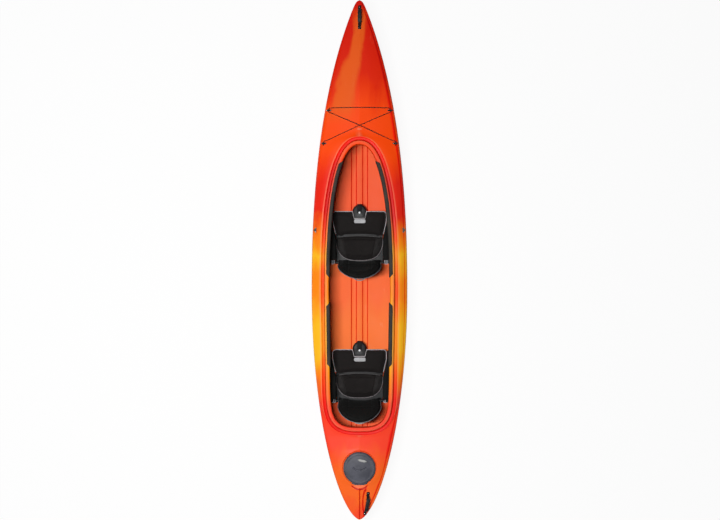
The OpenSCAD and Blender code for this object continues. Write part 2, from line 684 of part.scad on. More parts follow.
// A point beside the rim, on the same flats as the coaming: reach from the opening, and height
function rim_spot(y, reach, rise) =
    let (q = lookup(y, [for (k = [0 : rim_last]) [rim_places[k], k]]), k = min(floor(q), rim_last - 1),
         spots = [for (m = [k, k + 1])
             let (p = rim_points[m] + reach * rim_normals[m]) [p[0], p[1], rim_z(rim_places[m]) + rise]])
    mix(spots[0], spots[1], q - k);
module thigh_pad(side, span) {
    places = concat([span[0]], [for (y = rim_places) if (y < span[0] - 30 && y > span[1] + 30) y], [span[1]]);
    rows = [for (k = [0 : len(places) - 1])
        let (lean = k == 0 ? 1 : k == len(places) - 1 ? -1 : 0)
        [for (line = [pad_cover, pad_lining]) [for (r = line)
            rim_spot(places[k] - lean * pad_end_slope * (r[0] + pad_depth), r[0], r[1])]]];
    rings = [for (r = rows) concat(r[0], [for (k = [len(r[1]) - 1 : -1 : 0]) r[1][k]])];
    closed = [for (r = rings) concat(r, [r[0]])];
    last = len(rows) - 1;
    tris = concat(sheet(closed), strip(rows[0][1], rows[0][0]), flipped(strip(rows[last][1], rows[last][0])));
    color(plastic_colour) solid(side > 0 ? tris : mirrored(tris));
}
front_pad_reach = [126, 1048];
pad_spacing = 193;
rear_pad_reach = 472;
front_pad = [cockpit_front - front_pad_reach[0], cockpit_front - front_pad_reach[1]];
rear_pad = [front_pad[1] - pad_spacing, cockpit_rear + rear_pad_reach];

// Foot braces: a slotted rail on the inner wall, a sliding pedal, and its spring lock

rail_depth = 12;
rail_width = 28;
rail_web = 3;
rail_slot = 11;
rail_pitch = 330;
rail_offset = 9;
rail_notches = 12;
rail_boss_radius = 7;
bolt_radius = 3;
pedal_thickness = 9;
carriage_length = 64;
carriage_depth = 13;
carriage_height = 44;
lock_pin_radius = 2.5;
lock_pin_y = 22;
lock_pin_z = 28;
lock_length = 38;

// The frame of the port rail at a place y: +X points inboard, and +Y runs forward along the rail
module at_rail(side, y) {
    seat_z = rail_height - rail_boss_radius;
    fore = wall_x(y + rail_pitch / 2, seat_z);
    aft = wall_x(y - rail_pitch / 2, seat_z);
    mirror([side > 0 ? 1 : 0, 0, 0])
        translate([rail_offset - (fore + aft) / 2, y, rail_height])
            rotate(-atan2(aft - fore, rail_pitch)) children();
}
module foot_rail(side, y) {
    color("#2e2f33") at_rail(side, y) {
        difference() {
            rotate([90, 0, 0]) linear_extrude(rail_length, center = true) difference() {
                translate([0, -rail_width / 2]) square([rail_depth, rail_width]);
                translate([rail_web, rail_web - rail_width / 2])
                    square([rail_depth - 2 * rail_web, rail_width - 2 * rail_web]);
                translate([rail_web, -rail_slot / 2]) square([rail_depth, rail_slot]);
            }
            for (k = [0 : rail_notches - 1])
                translate([rail_depth - rail_web / 2, (k - (rail_notches - 1) / 2) * 25, rail_slot / 2 + 1])
                    cube([2 * rail_web, 9, 8], center = true);
            for (end = [-1, 1]) translate([0, end * rail_pitch / 2, 0]) rotate([0, 90, 0])
                cylinder(h = 30, r = bolt_radius + pin_gap, center = true);
        }
        for (end = [-1, 1]) translate([0, end * rail_pitch / 2, 0]) rotate([0, -90, 0]) difference() {
            cylinder(h = rail_offset - shell_gap, r = rail_boss_radius);
            translate([0, 0, -1]) cylinder(h = 30, r = bolt_radius + pin_gap);
        }
    }
}
// The bolts go through the shell, with a domed cap outside; the wall leans out above the rail's seat
function wall_lean(y) = wall_x(y, rail_height) - wall_x(y, rail_height - rail_boss_radius);
module foot_rail_bolts() {
    head = 2.6;
    color(metal_colour) for (side = [-1, 1], y = [front_rail_y, rear_rail_y]) at_rail(side, y)
        for (end = [-1, 1]) let (grip = rail_offset + 1.2 * wall + wall_lean(y + end * rail_pitch / 2))
            translate([0, end * rail_pitch / 2, 0]) rotate([0, -90, 0]) {
                translate([0, 0, -rail_web]) cylinder(h = grip + rail_web + 1, r = bolt_radius);
                translate([0, 0, -rail_web - head]) cylinder(h = head, r = 6);
                translate([0, 0, grip]) intersection() {
                    cylinder(h = head, r = 7);
                    translate([0, 0, -9]) sphere(11.6);
                }
            }
}
module foot_pedal(side, y) {
    near = rail_depth + seat_gap;
    color(plastic_colour) at_rail(side, y) difference() {
        union() {
            // The slide in the rail's slot, and the block that runs along its face
            translate([rail_web + seat_gap, -carriage_length / 2, seat_gap + rail_web - rail_width / 2])
                cube([rail_depth - 2 * rail_web - 2 * seat_gap, carriage_length,
                    rail_width - 2 * rail_web - 2 * seat_gap]);
            translate([rail_web + seat_gap, -carriage_length / 2, seat_gap - rail_slot / 2])
                cube([rail_depth, carriage_length, rail_slot - 2 * seat_gap]);
            translate([near, -carriage_length / 2, -carriage_height / 2])
                cube([carriage_depth, carriage_length, carriage_height]);
            // The foot plate with its tread bars, and two ribs behind it
            translate([near + pedal_width / 2, -carriage_length / 2 + pedal_thickness / 2, 14]) {
                upright(pedal_thickness) rounded_square(pedal_width, pedal_height, 16);
                for (k = [-2 : 2]) translate([4, -pedal_thickness / 2 - 1, k * 18]) upright(3)
                    rounded_square(pedal_width - 26, 6, 2.5);
            }
            for (z = [-14, 8]) translate([near + carriage_depth - 1, 0, z]) linear_extrude(5)
                polygon([[0, carriage_length / 2 - 4], [0, -carriage_length / 2 + 4],
                    [pedal_width - 26, -carriage_length / 2 + 4]]);
            // The two ears that hold the lock's pin
            for (x = [0, carriage_depth - 3]) translate([near + x, lock_pin_y, lock_pin_z]) rotate([0, 90, 0]) {
                cylinder(h = 3, r = 6);
                translate([0, -6, 0]) cube([10, 12, 3]);
            }
        }
        translate([0, lock_pin_y, lock_pin_z]) rotate([0, 90, 0])
            cylinder(h = 60, r = lock_pin_radius + pin_gap);
    }
}
module pedal_lock(side, y) {
    near = rail_depth + seat_gap;
    body = carriage_depth - 6 - 2 * seat_gap;
    color("#b9bcc2") at_rail(side, y) {
        translate([near + 0.5, lock_pin_y, lock_pin_z]) rotate([0, 90, 0])
            cylinder(h = carriage_depth - 1, r = lock_pin_radius);
        translate([near + carriage_depth / 2, 0, 0]) sideways(body) union() {
            translate([lock_pin_y, lock_pin_z]) circle(5);
            translate([lock_pin_y - lock_length, lock_pin_z - 3]) square([lock_length, 5]);
            translate([lock_pin_y - lock_length, lock_pin_z - 0.5]) circle(4);
        }
    }
}

// Seats: a pan that stands in the strake channels, a cushion, a hinged leg rest and a hinged backrest

seat_half = seat_width / 2;
pan_half = seat_half - 1;
pan_plate = 5;
pan_skirt = 20;
pan_rear = -34;
runner_width = 24;
runner_top = pan_height - pan_plate;
bracket_thickness = 5;
bracket_fore = 58;
bracket_aft = 6;
back_axis_y = -16;
leg_hinge_y = seat_depth + 8;
pan_setback = 48;
pan_front = leg_hinge_y + leg_rest_length - pan_setback;
leg_pin_radius = 3;
leg_ear_x = 140;
leg_ear_width = 12;
leg_board_thickness = 5;
leg_pad_thickness = 34;
notch_width = 102;
notch_depth = 56;
tongue_half = 56;
tongue_height = 27;
tongue_top = runner_top + tongue_height;
tongue_y = leg_hinge_y + leg_rest_length;

module seat_pan(at) {
    middle_y = (pan_rear + pan_front) / 2;
    length = pan_front - pan_rear;
    color(plastic_colour) translate([0, at, 0]) difference() {
        union() {
            translate([0, middle_y, pan_height - pan_plate]) linear_extrude(pan_plate)
                rounded_square(2 * pan_half, length, 42);
            translate([0, middle_y, pan_height - pan_skirt]) linear_extrude(pan_skirt) difference() {
                rounded_square(2 * pan_half, length, 42);
                rounded_square(2 * pan_half - 10, length - 10, 38);
            }
            both_sides() {
                // The runners stand in the strake channels of the floor
                translate([strake_offset - runner_width / 2, pan_rear + 24, wall + seat_gap])
                    cube([runner_width, length - 48, runner_top - wall]);
                translate([pan_half / 2 + 40, middle_y, pan_height - pan_skirt]) linear_extrude(pan_skirt - 1)
                    square([4, length - 20], center = true);
                // The ears of the leg rest's hinge
                translate([leg_ear_x, leg_hinge_y, leg_hinge_height]) rotate([0, 90, 0])
                    linear_extrude(leg_ear_width) {
                    circle(8);
                    translate([0, -8]) square([leg_hinge_height - runner_top, 16]);
                }
            }
            // The front sill carries the leg rest, and the round-ended tongue carries the strap's buckle
            translate([-pan_half + 40, pan_front - 22, runner_top])
                cube([2 * pan_half - 80, 10, sill_top - runner_top]);
            translate([0, tongue_y, runner_top]) {
                rotate_extrude(angle = 180) tongue_profile();
                rotate([90, 0, 0]) linear_extrude(tongue_y - pan_front + 22) {
                    tongue_profile();
                    mirror([1, 0]) tongue_profile();
                }
            }
        }
        // Drain slots and lightening holes
        for (x = [-1, 1], y = [70, 130]) translate([x * 20, y, runner_top - 1]) linear_extrude(20)
            rounded_square(14, 40, 6);
        both_sides() translate([leg_ear_x - 20, leg_hinge_y, leg_hinge_height]) rotate([0, 90, 0])
            cylinder(h = 60, r = leg_pin_radius + pin_gap);
    }
}
// Half of the tongue's cross section, with a rolled upper edge
module tongue_profile() {
    polygon([[0, 0], [tongue_half, 0], [tongue_half, tongue_height - 15], [tongue_half - 4, tongue_height - 7],
             [tongue_half - 12, tongue_height - 2], [tongue_half - 26, tongue_height], [0, tongue_height]]);
}
// Height of the leg rest board's underside over the sill
sill_top = leg_hinge_height + (pan_front - 17 - leg_hinge_y) * tan(leg_rest_slope)
    - leg_board_thickness / 2 / cos(leg_rest_slope) - seat_gap - 0.6;

// A padded solid on a grid: place(u, v) gives the outline, with u across from -1 to 1 and v along from 0 to 1
function edge_roll(v) = pow(max(0, 1 - pow(abs(v), 6)), 0.5);
function pad_faces(top, low) =
    let (last = len(top) - 1, end = len(top[0]) - 1)
    concat(sheet(top), flipped(sheet(low)),
        strip(low[0], top[0]), flipped(strip(low[last], top[last])),
        flipped(strip(column(low, 0), column(top, 0))), strip(column(low, end), column(top, end)));

cushion_across = 22;
cushion_along = 10;
cushion_edge = 10;
wing_rise = 20;
channel_depth = 6;
function u_edge(x) = seat_depth * (1 - pow(max(0, 1 - pow(abs(x) / seat_half, 2.6)), 1 / 2.6));
// Sewn channels split the cushion into a middle panel and two side panels
function channel(x, half) = channel_depth * max(0, 1 - abs(abs(x) - half) / 14);
module seat_cushion(at) {
    low_z = pan_height + seat_gap;
    grid = [for (v = steps(cushion_along)) [for (k = steps(cushion_across))
        let (u = 2 * k - 1, x = seat_half * sign(u) * (1 - pow(1 - abs(u), 1.4)), back = u_edge(x),
             y = mix(back, seat_depth - 2, v), roll = edge_roll(2 * v - 1) * edge_roll(u),
             dish = wing_rise * pow(abs(x) / seat_half, 2), sewn = channel(x, mix(98, 116, v)))
        [x, at + y, low_z + cushion_edge + roll * (cushion_thickness - cushion_edge + dish - sewn)]]];
    low = [for (r = grid) [for (p = r) [p[0], p[1], low_z]]];
    color(fabric_colour) solid(pad_faces(grid, low));
}

// The leg rest's outline: its width grows forward, and its front has a notch for the buckle
leg_pad_rear = 6;
function leg_half(y) = mix(seat_half - 6, leg_rest_width / 2, pow(clamp01(y / (0.6 * leg_rest_length)), 0.8));
function leg_front(x) =
    let (corner = 26, over = max(0, abs(x) - (leg_rest_width / 2 - corner)) / corner)
    leg_rest_length - corner * (1 - sqrt(max(0, 1 - over * over)))
    - notch_depth * clamp01((notch_width / 2 + 6 - abs(x)) / 12);
module at_leg_rest(at) {
    translate([0, at + leg_hinge_y, leg_hinge_height]) rotate([leg_rest_slope, 0, 0]) children();
}
module leg_rest_board(at) {
    board_front = leg_rest_length - 10;
    knuckle_x = leg_ear_x + leg_ear_width + 0.4;
    color(plastic_colour) at_leg_rest(at) difference() {
        union() {
            linear_extrude(leg_board_thickness, center = true) difference() {
                polygon([
                    [-seat_half + 16, 10], [seat_half - 16, 10],
                    [leg_rest_width / 2 - 18, 0.6 * leg_rest_length],
                    [leg_rest_width / 2 - 18, board_front - 20], [leg_rest_width / 2 - 38, board_front],
                    [38 - leg_rest_width / 2, board_front], [18 - leg_rest_width / 2, board_front - 20],
                    [18 - leg_rest_width / 2, 0.6 * leg_rest_length]]);
                translate([-notch_width / 2 - 8, leg_rest_length - notch_depth - 10])
                    square([notch_width + 16, 100]);
            }
            both_sides() translate([knuckle_x, 0, 0]) rotate([0, 90, 0]) {
                cylinder(h = leg_ear_width, r = 8);
                translate([-leg_board_thickness / 2, 0, 0]) cube([leg_board_thickness, 14, leg_ear_width]);
            }
        }
        both_sides() translate([leg_ear_x - 20, 0, 0]) rotate([0, 90, 0])
            cylinder(h = 60, r = leg_pin_radius + pin_gap);
    }
}
leg_across = 30;
leg_along = 7;
module leg_rest_pad(at) {
    low_z = leg_board_thickness / 2 + seat_gap;
    grid = [for (v = steps(leg_along)) [for (k = steps(leg_across))
        let (u = 2 * k - 1, guess = u * leg_rest_width / 2, y = mix(leg_pad_rear, leg_front(guess), v),
            x = u * leg_half(y),
             roll = edge_roll(2 * v - 1) * edge_roll(u))
        [x, y, low_z + 8 + roll * (leg_pad_thickness - 8)]]];
    low = [for (r = grid) [for (p = r) [p[0], p[1], low_z + (p[1] < 14 ? 9 - p[1] * 0.5 : 0)]]];
    color(fabric_colour) at_leg_rest(at) solid(pad_faces(grid, low));
}
module leg_rest_pins(at) {
    color(metal_colour) translate([0, at + leg_hinge_y, leg_hinge_height]) both_sides()
        translate([leg_ear_x - 3, 0, 0]) rotate([0, 90, 0]) {
            cylinder(h = 2 * leg_ear_width + 6, r = leg_pin_radius);
            cylinder(h = 2.6, r = 5.5);
        }
}

// The leg rest's lifting strap and its cam buckle, on the pan's tongue
buckle_width = 46;
buckle_length = 44;
buckle_y = tongue_y - 18;
buckle_base = 4;
roller_radius = 5;
strap_width = 38;
strap_thickness = 1.8;
module strap_buckle(at) {
    color("#4a4c52") translate([0, at + buckle_y, tongue_top + seat_gap]) {
        linear_extrude(buckle_base) rounded_square(buckle_width, buckle_length, 5);
        for (x = [-1, 1]) translate([x * (buckle_width / 2 - 2), 0, 0]) sideways(4)
            polygon([[-18, 0], [18, 0], [14, 13], [4, 17], [-8, 14]]);
        translate([0, 5, 12]) rotate([0, 90, 0])
            cylinder(h = buckle_width - 4, r = roller_radius, center = true);
        translate([0, -6, 12]) sideways(buckle_width - 4) polygon([[-12, 2], [10, 0], [10, 4], [-12, 5]]);
    }
}
// The webbing leaves the buckle, lies over the tongue's round end, and hangs down to the floor.
// Its points run ahead of the tongue's centre and up from the tongue's top.
strap_floor = tongue_top - wall - strake_depth - strap_thickness;
strap_line = [[-26, 6], [-2, 6], [14, 3.2], [30, 1.7], [45, 0], [tongue_half - 1, -5], [tongue_half + 2.5, -14],
              [tongue_half + 3, -0.4 * strap_floor], [tongue_half + 2, -0.75 * strap_floor],
              [tongue_half - 2, -strap_floor]];
module lifter_strap(at) {
    line = smooth_line(strap_line, 3);
    color("#26262a") translate([0, at + tongue_y, tongue_top]) sideways(strap_width)
        polygon(concat(
            [for (k = [0 : len(line) - 1]) line[k] + strap_thickness / 2 * line_normal(line, k)],
            [for (k = [len(line) - 1 : -1 : 0]) line[k] - strap_thickness / 2 * line_normal(line, k)]));
}
function line_normal(line, k) =
    let (d = line[min(k + 1, len(line) - 1)] - line[max(k - 1, 0)]) unit([-d[1], d[0]]);
// Points on a smooth curve through the given ones
function smooth_line(p, n) = [for (k = [0 : len(p) - 2], s = [0 : k == len(p) - 2 ? n : n - 1])
    let (t = s / n, a = p[max(k - 1, 0)], b = p[k], c = p[k + 1], d = p[min(k + 2, len(p) - 1)])
    0.5 * (2 * b + (c - a) * t + (2 * a - 5 * b + 4 * c - d) * t * t + (3 * b - a - 3 * c + d) * t * t * t)];

// The backrest: a bowed shell on two hinge pins in side brackets, with a padded face
back_bow = 420;
back_shell = 5;
back_depth = 34;
back_low = -52;
back_half = back_width / 2;
back_round = 110;
back_ribs = [20, 110, 190];
back_rib_height = 6;
back_rib_depth = 7;
function back_outline_half(z) = back_half * (z < back_round ? 1 - 0.0002 * (back_round - z)
    : sqrt(max(0, 1 - pow((z - back_round) / (back_height - back_round), 2))));
module at_backrest(at) {
    translate([0, at + back_axis_y, back_hinge_height]) rotate([back_recline, 0, 0]) children();
}
bracket_x = seat_half + seat_gap;
lug_radius = 12;
back_pad_margin = 9;
lug_start = back_half - back_pad_margin;
module backrest_shell(at) {
    rise = [for (s = steps(24)) mix(back_low, back_height, 1 - pow(1 - s, 2))];
    color(plastic_colour) at_backrest(at) difference() {
        union() {
            intersection() {
                union() {
                    back_band(back_low, back_height - back_low, back_bow);
                    for (z = back_ribs) back_band(z, back_rib_height, back_bow + back_rib_depth);
                }
                upright(2 * back_bow) polygon(concat(
                    [for (z = rise) [back_outline_half(z), z]],
                    [for (k = [len(rise) - 1 : -1 : 0]) [-back_outline_half(rise[k]), rise[k]]]));
            }
            both_sides() {
                translate([lug_start, 0, 0]) rotate([0, 90, 0])
                    cylinder(h = bracket_x - 0.4 - lug_start, r = lug_radius);
                translate([lug_start, -lug_radius, 0]) cube([10, lug_radius, 40]);
            }
        }
        both_sides() translate([back_half - 40, 0, 0]) rotate([0, 90, 0])
            cylinder(h = 90, r = back_pin_radius + pin_gap);
    }
}
// A bowed wall from a low height up, with its hollow side forward
module back_band(low, height, radius) {
    translate([0, back_bow - back_depth, low]) linear_extrude(height) difference() {
        circle(radius, $fn = 180);
        circle(back_bow - back_shell, $fn = 180);
        translate([-2 * back_bow, -back_bow / 2]) square(4 * back_bow);
    }
}
back_across = 18;
back_along = 12;
back_pad_low = -34;
module backrest_pad(at) {
    inner = back_bow - back_shell - seat_gap;
    function face_y(x) = back_bow - back_depth - sqrt(inner * inner - x * x);
    grid = [for (v = steps(back_along)) [for (k = steps(back_across))
        let (u = 2 * k - 1, z = mix(back_pad_low, back_height - back_pad_margin, 1 - pow(1 - v, 1.6)),
             half = max(6, back_outline_half(z + 0.6 * back_pad_margin) - back_pad_margin), x = half * u,
             lumbar = 1 + 0.25 * pow(max(0, 1 - pow((z - 70) / 90, 2)), 1),
             roll = edge_roll(2 * v - 1) * edge_roll(u))
        [x, face_y(x) + 6 + roll * (back_pad_thickness * lumbar - 6 - channel(x, 92) * 0.8), z]]];
    low = [for (r = grid) [for (p = r) [p[0], face_y(p[0]), p[2]]]];
    color(fabric_colour) at_backrest(at) solid(flipped(pad_faces(grid, low)));
}
// A hip plate beside each end of the cushion, with a flange rolled outward at its top, carries the
// backrest's pin
hip_boss = 14;
hip_rear = 10;
hip_front = 172;
hip_top = 178;
hip_corner = 40;
hip_flange = 30;
flange_corner = 12;
module seat_brackets(at) {
    low = pan_height - pan_skirt + 1;
    color("#2c2d30") translate([0, at, 0]) both_sides() translate([bracket_x, 0, 0]) difference() {
        union() {
            rotate([90, 0, 90]) linear_extrude(bracket_thickness) {
                polygon([
                    [bracket_aft, low], [bracket_fore, low], [hip_front - hip_corner, pan_height],
                    [hip_front, pan_height + hip_corner],
                    [hip_front, hip_top - hip_corner], [hip_front - hip_corner, hip_top], [hip_rear, hip_top],
                    [back_axis_y - hip_boss, back_hinge_height]]);
                translate([back_axis_y, back_hinge_height]) circle(hip_boss);
            }
            translate([0, 0, hip_top - bracket_thickness]) linear_extrude(bracket_thickness) polygon([
                [0, hip_rear], [hip_flange, hip_rear],
                [hip_flange + bracket_thickness, hip_rear + flange_corner],
                [hip_flange + bracket_thickness, hip_front - hip_corner - flange_corner],
                [hip_flange, hip_front - hip_corner], [0, hip_front - hip_corner]]);
        }
        rotate([90, 0, 90]) translate([0, 0, -bracket_thickness]) {
            translate([back_axis_y, back_hinge_height])
                cylinder(h = 3 * bracket_thickness, r = back_pin_radius + pin_gap);
            for (y = bracket_screw_places) translate([y, low + 8])
                cylinder(h = 3 * bracket_thickness, r = screw_radius + 1 + pin_gap);
        }
    }
}
bracket_screw_places = [20, 44];
module backrest_pins(at) {
    pin_reach = bracket_x + bracket_thickness + seat_gap - lug_start - 3;
    color(metal_colour) translate([0, at + back_axis_y, back_hinge_height]) both_sides()
        translate([lug_start + 3, 0, 0]) rotate([0, 90, 0]) {
            cylinder(h = pin_reach + 1, r = back_pin_radius);
            translate([0, 0, pin_reach]) cylinder(h = 4, r = 8);
        }
}
module bracket_screws() {
    low = pan_height - pan_skirt + 1;
    color(metal_colour) for (at = [front_seat_y, rear_seat_y], y = bracket_screw_places)
        translate([0, at + y, low + 8]) both_sides()
        translate([bracket_x - 8, 0, 0]) rotate([0, 90, 0]) {
            cylinder(h = 8 + bracket_thickness + 0.5, r = screw_radius + 1);
            translate([0, 0, 8 + bracket_thickness + 0.1]) cylinder(h = 2.6, r = 6);
        }
}

hull_shell();
stern_bulkhead();
bow_foam_pillar();
deck_eye(-front_eye_x, front_eye_y);  // deck_eye_front_left
deck_eye(front_eye_x, front_eye_y);  // deck_eye_front_right
deck_eye(-rear_eye_x, rear_eye_y);  // deck_eye_rear_left
deck_eye(rear_eye_x, rear_eye_y);  // deck_eye_rear_right
side_eye(-1);  // side_eye_left
side_eye(1);  // side_eye_right
eye_screws();
deck_bungee();
bow_handle_strap();
bow_handle_grip();
stern_handle_strap();
stern_handle_grip();
handle_screws();
hatch_lid();
hatch_seal();
thigh_pad(-1, front_pad);  // thigh_pad_front_left
thigh_pad(1, front_pad);  // thigh_pad_front_right
thigh_pad(-1, rear_pad);  // thigh_pad_rear_left
thigh_pad(1, rear_pad);  // thigh_pad_rear_right
foot_rail(-1, front_rail_y);  // foot_rail_front_left
foot_rail(1, front_rail_y);  // foot_rail_front_right
foot_rail(-1, rear_rail_y);  // foot_rail_rear_left
foot_rail(1, rear_rail_y);  // foot_rail_rear_right
foot_pedal(-1, front_rail_y);  // foot_pedal_front_left
foot_pedal(1, front_rail_y);  // foot_pedal_front_right
foot_pedal(-1, rear_rail_y);  // foot_pedal_rear_left
foot_pedal(1, rear_rail_y);  // foot_pedal_rear_right
pedal_lock(-1, front_rail_y);  // pedal_lock_front_left
pedal_lock(1, front_rail_y);  // pedal_lock_front_right
pedal_lock(-1, rear_rail_y);  // pedal_lock_rear_left
pedal_lock(1, rear_rail_y);  // pedal_lock_rear_right
foot_rail_bolts();
seat_pan(front_seat_y);  // front_seat_pan
seat_cushion(front_seat_y);  // front_seat_cushion
leg_rest_board(front_seat_y);  // front_leg_rest_board
leg_rest_pad(front_seat_y);  // front_leg_rest_pad
leg_rest_pins(front_seat_y);  // front_leg_rest_pins
seat_brackets(front_seat_y);  // front_seat_brackets
backrest_shell(front_seat_y);  // front_backrest_shell
backrest_pad(front_seat_y);  // front_backrest_pad
backrest_pins(front_seat_y);  // front_backrest_pins
strap_buckle(front_seat_y);  // front_strap_buckle
lifter_strap(front_seat_y);  // front_lifter_strap
seat_pan(rear_seat_y);  // rear_seat_pan
seat_cushion(rear_seat_y);  // rear_seat_cushion
leg_rest_board(rear_seat_y);  // rear_leg_rest_board
leg_rest_pad(rear_seat_y);  // rear_leg_rest_pad
leg_rest_pins(rear_seat_y);  // rear_leg_rest_pins
seat_brackets(rear_seat_y);  // rear_seat_brackets
backrest_shell(rear_seat_y);  // rear_backrest_shell
backrest_pad(rear_seat_y);  // rear_backrest_pad
backrest_pins(rear_seat_y);  // rear_backrest_pins
strap_buckle(rear_seat_y);  // rear_strap_buckle
lifter_strap(rear_seat_y);  // rear_lifter_strap
bracket_screws();
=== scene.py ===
import json
import math
from functools import partial

import bpy
import numpy as np
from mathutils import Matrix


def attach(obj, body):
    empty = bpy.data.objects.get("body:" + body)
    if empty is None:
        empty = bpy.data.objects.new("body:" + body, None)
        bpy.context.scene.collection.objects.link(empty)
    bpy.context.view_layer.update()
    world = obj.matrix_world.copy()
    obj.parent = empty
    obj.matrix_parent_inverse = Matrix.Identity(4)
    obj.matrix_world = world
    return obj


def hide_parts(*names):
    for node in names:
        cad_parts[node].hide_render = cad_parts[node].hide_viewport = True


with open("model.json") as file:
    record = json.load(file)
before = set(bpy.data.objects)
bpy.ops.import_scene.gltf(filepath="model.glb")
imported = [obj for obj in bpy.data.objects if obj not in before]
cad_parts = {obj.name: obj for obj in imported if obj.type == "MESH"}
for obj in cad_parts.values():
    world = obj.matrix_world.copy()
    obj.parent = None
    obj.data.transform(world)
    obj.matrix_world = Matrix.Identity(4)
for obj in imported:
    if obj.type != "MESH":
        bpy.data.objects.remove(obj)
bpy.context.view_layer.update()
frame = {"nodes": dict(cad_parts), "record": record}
scene = bpy.context.scene
scene.view_settings.view_transform = "Standard"

# Lengths in the formulas are millimetres unless a comment says metres, and MM turns them into metres.
MM = 0.001
HANDS = (("left", -1), ("right", 1))


# Points and lines

def mix(a, b, t):
    """The straight way from a to b: a at t = 0, and b at t = 1."""
    return a + (b - a) * t


def points_at(*coordinates):
    """Coordinates, spread to one shape, as an array of points."""
    return np.stack(np.broadcast_arrays(*coordinates), -1)


def full_turn(count):
    """Equal angles round a circle."""
    return np.arange(count) * 2 * np.pi / count


def squared_circle(angle, power):
    """A circle's cosine and sine, each to a power with its sign kept; a power below 1 makes the circle
    squarer."""
    c, s = np.cos(angle), np.sin(angle)
    return np.sign(c) * np.abs(c) ** power, np.sign(s) * np.abs(s) ** power


def circle(radius, count=12, flat=1.0):
    """Points of a circle, or an ellipse that is flat times as high as wide."""
    a = full_turn(count)
    return np.stack([radius * np.cos(a), flat * radius * np.sin(a)], -1)


def band(width, thickness, corner=0.3):
    """The outline of flat webbing: a wide rectangle with rounded edges."""
    w, h, c = width / 2, thickness / 2, corner * thickness
    return np.array([[-w, -h + c], [-w + c, -h], [w - c, -h], [w, -h + c],
                     [w, h - c], [w - c, h], [-w + c, h], [-w, h - c]])


def edgewise(outline):
    """A band's outline turned by a quarter, for webbing whose flat side faces along the sweep's across."""
    return outline[:, ::-1] * [1, -1]


def curve_through(points, count):
    """A smooth line of count points through the given ones: each coordinate is a cubic with matched slopes
    over the chord length."""
    p = np.asarray(points, float)
    t = np.concatenate([[0], np.cumsum(np.linalg.norm(np.diff(p, axis=0), axis=1))])
    slope = np.gradient(p, t, axis=0)
    s = np.linspace(0, t[-1], count)
    k = np.clip(np.searchsorted(t, s, side="right") - 1, 0, len(t) - 2)
    h = (t[k + 1] - t[k])[:, None]
    u = ((s - t[k])[:, None]) / h
    return ((2 * u**3 - 3 * u**2 + 1) * p[k] + (u**3 - 2 * u**2 + u) * h * slope[k]
            + (3 * u**2 - 2 * u**3) * p[k + 1] + (u**3 - u**2) * h * slope[k + 1])


def corner_cut(lines):
    """Each corner of a line of points is cut at a quarter and three quarters of its sides; the ends
    stay."""
    a, b = lines[:, :-1], lines[:, 1:]
    cut = np.stack([0.75 * a + 0.25 * b, 0.25 * a + 0.75 * b], 2).reshape(len(lines), -1, 3)
    return np.concatenate([lines[:, :1], cut, lines[:, -1:]], 1)


def crisp(lines, gap):
    """Each inner corner of a line of points becomes two points, a gap from it on either side, so that it
    shades as an edge."""
    a, b = lines[:, :-1], lines[:, 1:]
    length = np.linalg.norm(b - a, axis=2, keepdims=True)
    step = (b - a) * np.minimum(0.3, gap / np.maximum(length, 1e-6))
    both = np.stack([a + step, b - step], 2).reshape(len(lines), -1, 3)
    return np.concatenate([lines[:, :1], both[:, 1:-1], lines[:, -1:]], 1)


def rounded_section(section, cuts):
    """A closed outline whose corners are cut the given number of times."""
    line = np.concatenate([section, section[:1]])[None, :, [0, 1, 1]]
    for _ in range(cuts):
        line = corner_cut(line)
    return line[0][1:-1, :2]


def capped(rings):
    """Rings of points with the middle of the first before them, which closes the first end; the last end is
    open."""
    middle = np.repeat(rings[:1].mean(1, keepdims=True), rings.shape[1], 1)
    return np.concatenate([middle, rings])


def placed(points, axes, origin):
    """Points of a local frame in the shared one: the axes are the frame's directions."""
    return points @ np.asarray(axes, float) + np.asarray(origin, float)


def tilt(angle):
    """Axes of a frame turned about X."""
    return [[1, 0, 0], [0, math.cos(angle), math.sin(angle)], [0, -math.sin(angle), math.cos(angle)]]


# Meshes

def grid_quads(rows, columns, close_rows=False, close_columns=False, first=0):
    """Quads between neighbouring points of a rows by columns grid; a closed direction joins its last line
    to its first."""
    i, j = np.meshgrid(np.arange(rows if close_rows else rows - 1),
                       np.arange(columns if close_columns else columns - 1), indexing="ij")
    i2, j2 = (i + 1) % rows, (j + 1) % columns
    corners = [i * columns + j, i2 * columns + j, i2 * columns + j2, i * columns + j2]
    return np.stack(corners, -1).reshape(-1, 4) + first


def weld(points, quads):
    """Equal points become one, quads with one collapsed side become triangles, and thinner ones go."""
    key = np.round(points * 1e6).astype(np.int64)
    _, first, back = np.unique(key, axis=0, return_index=True, return_inverse=True)
    faces = back.reshape(-1)[quads]
    same = faces == np.roll(faces, -1, axis=1)
    crossed = (faces[:, 0] == faces[:, 2]) | (faces[:, 1] == faces[:, 3])
    whole = (same.sum(1) == 0) & ~crossed
    single = (same.sum(1) == 1) & ~crossed
    keep = np.argsort(same[single], axis=1, kind="stable")[:, :3]
    keep.sort(axis=1)
    return first, faces[whole], np.take_along_axis(faces[single], keep, 1), whole, single, keep


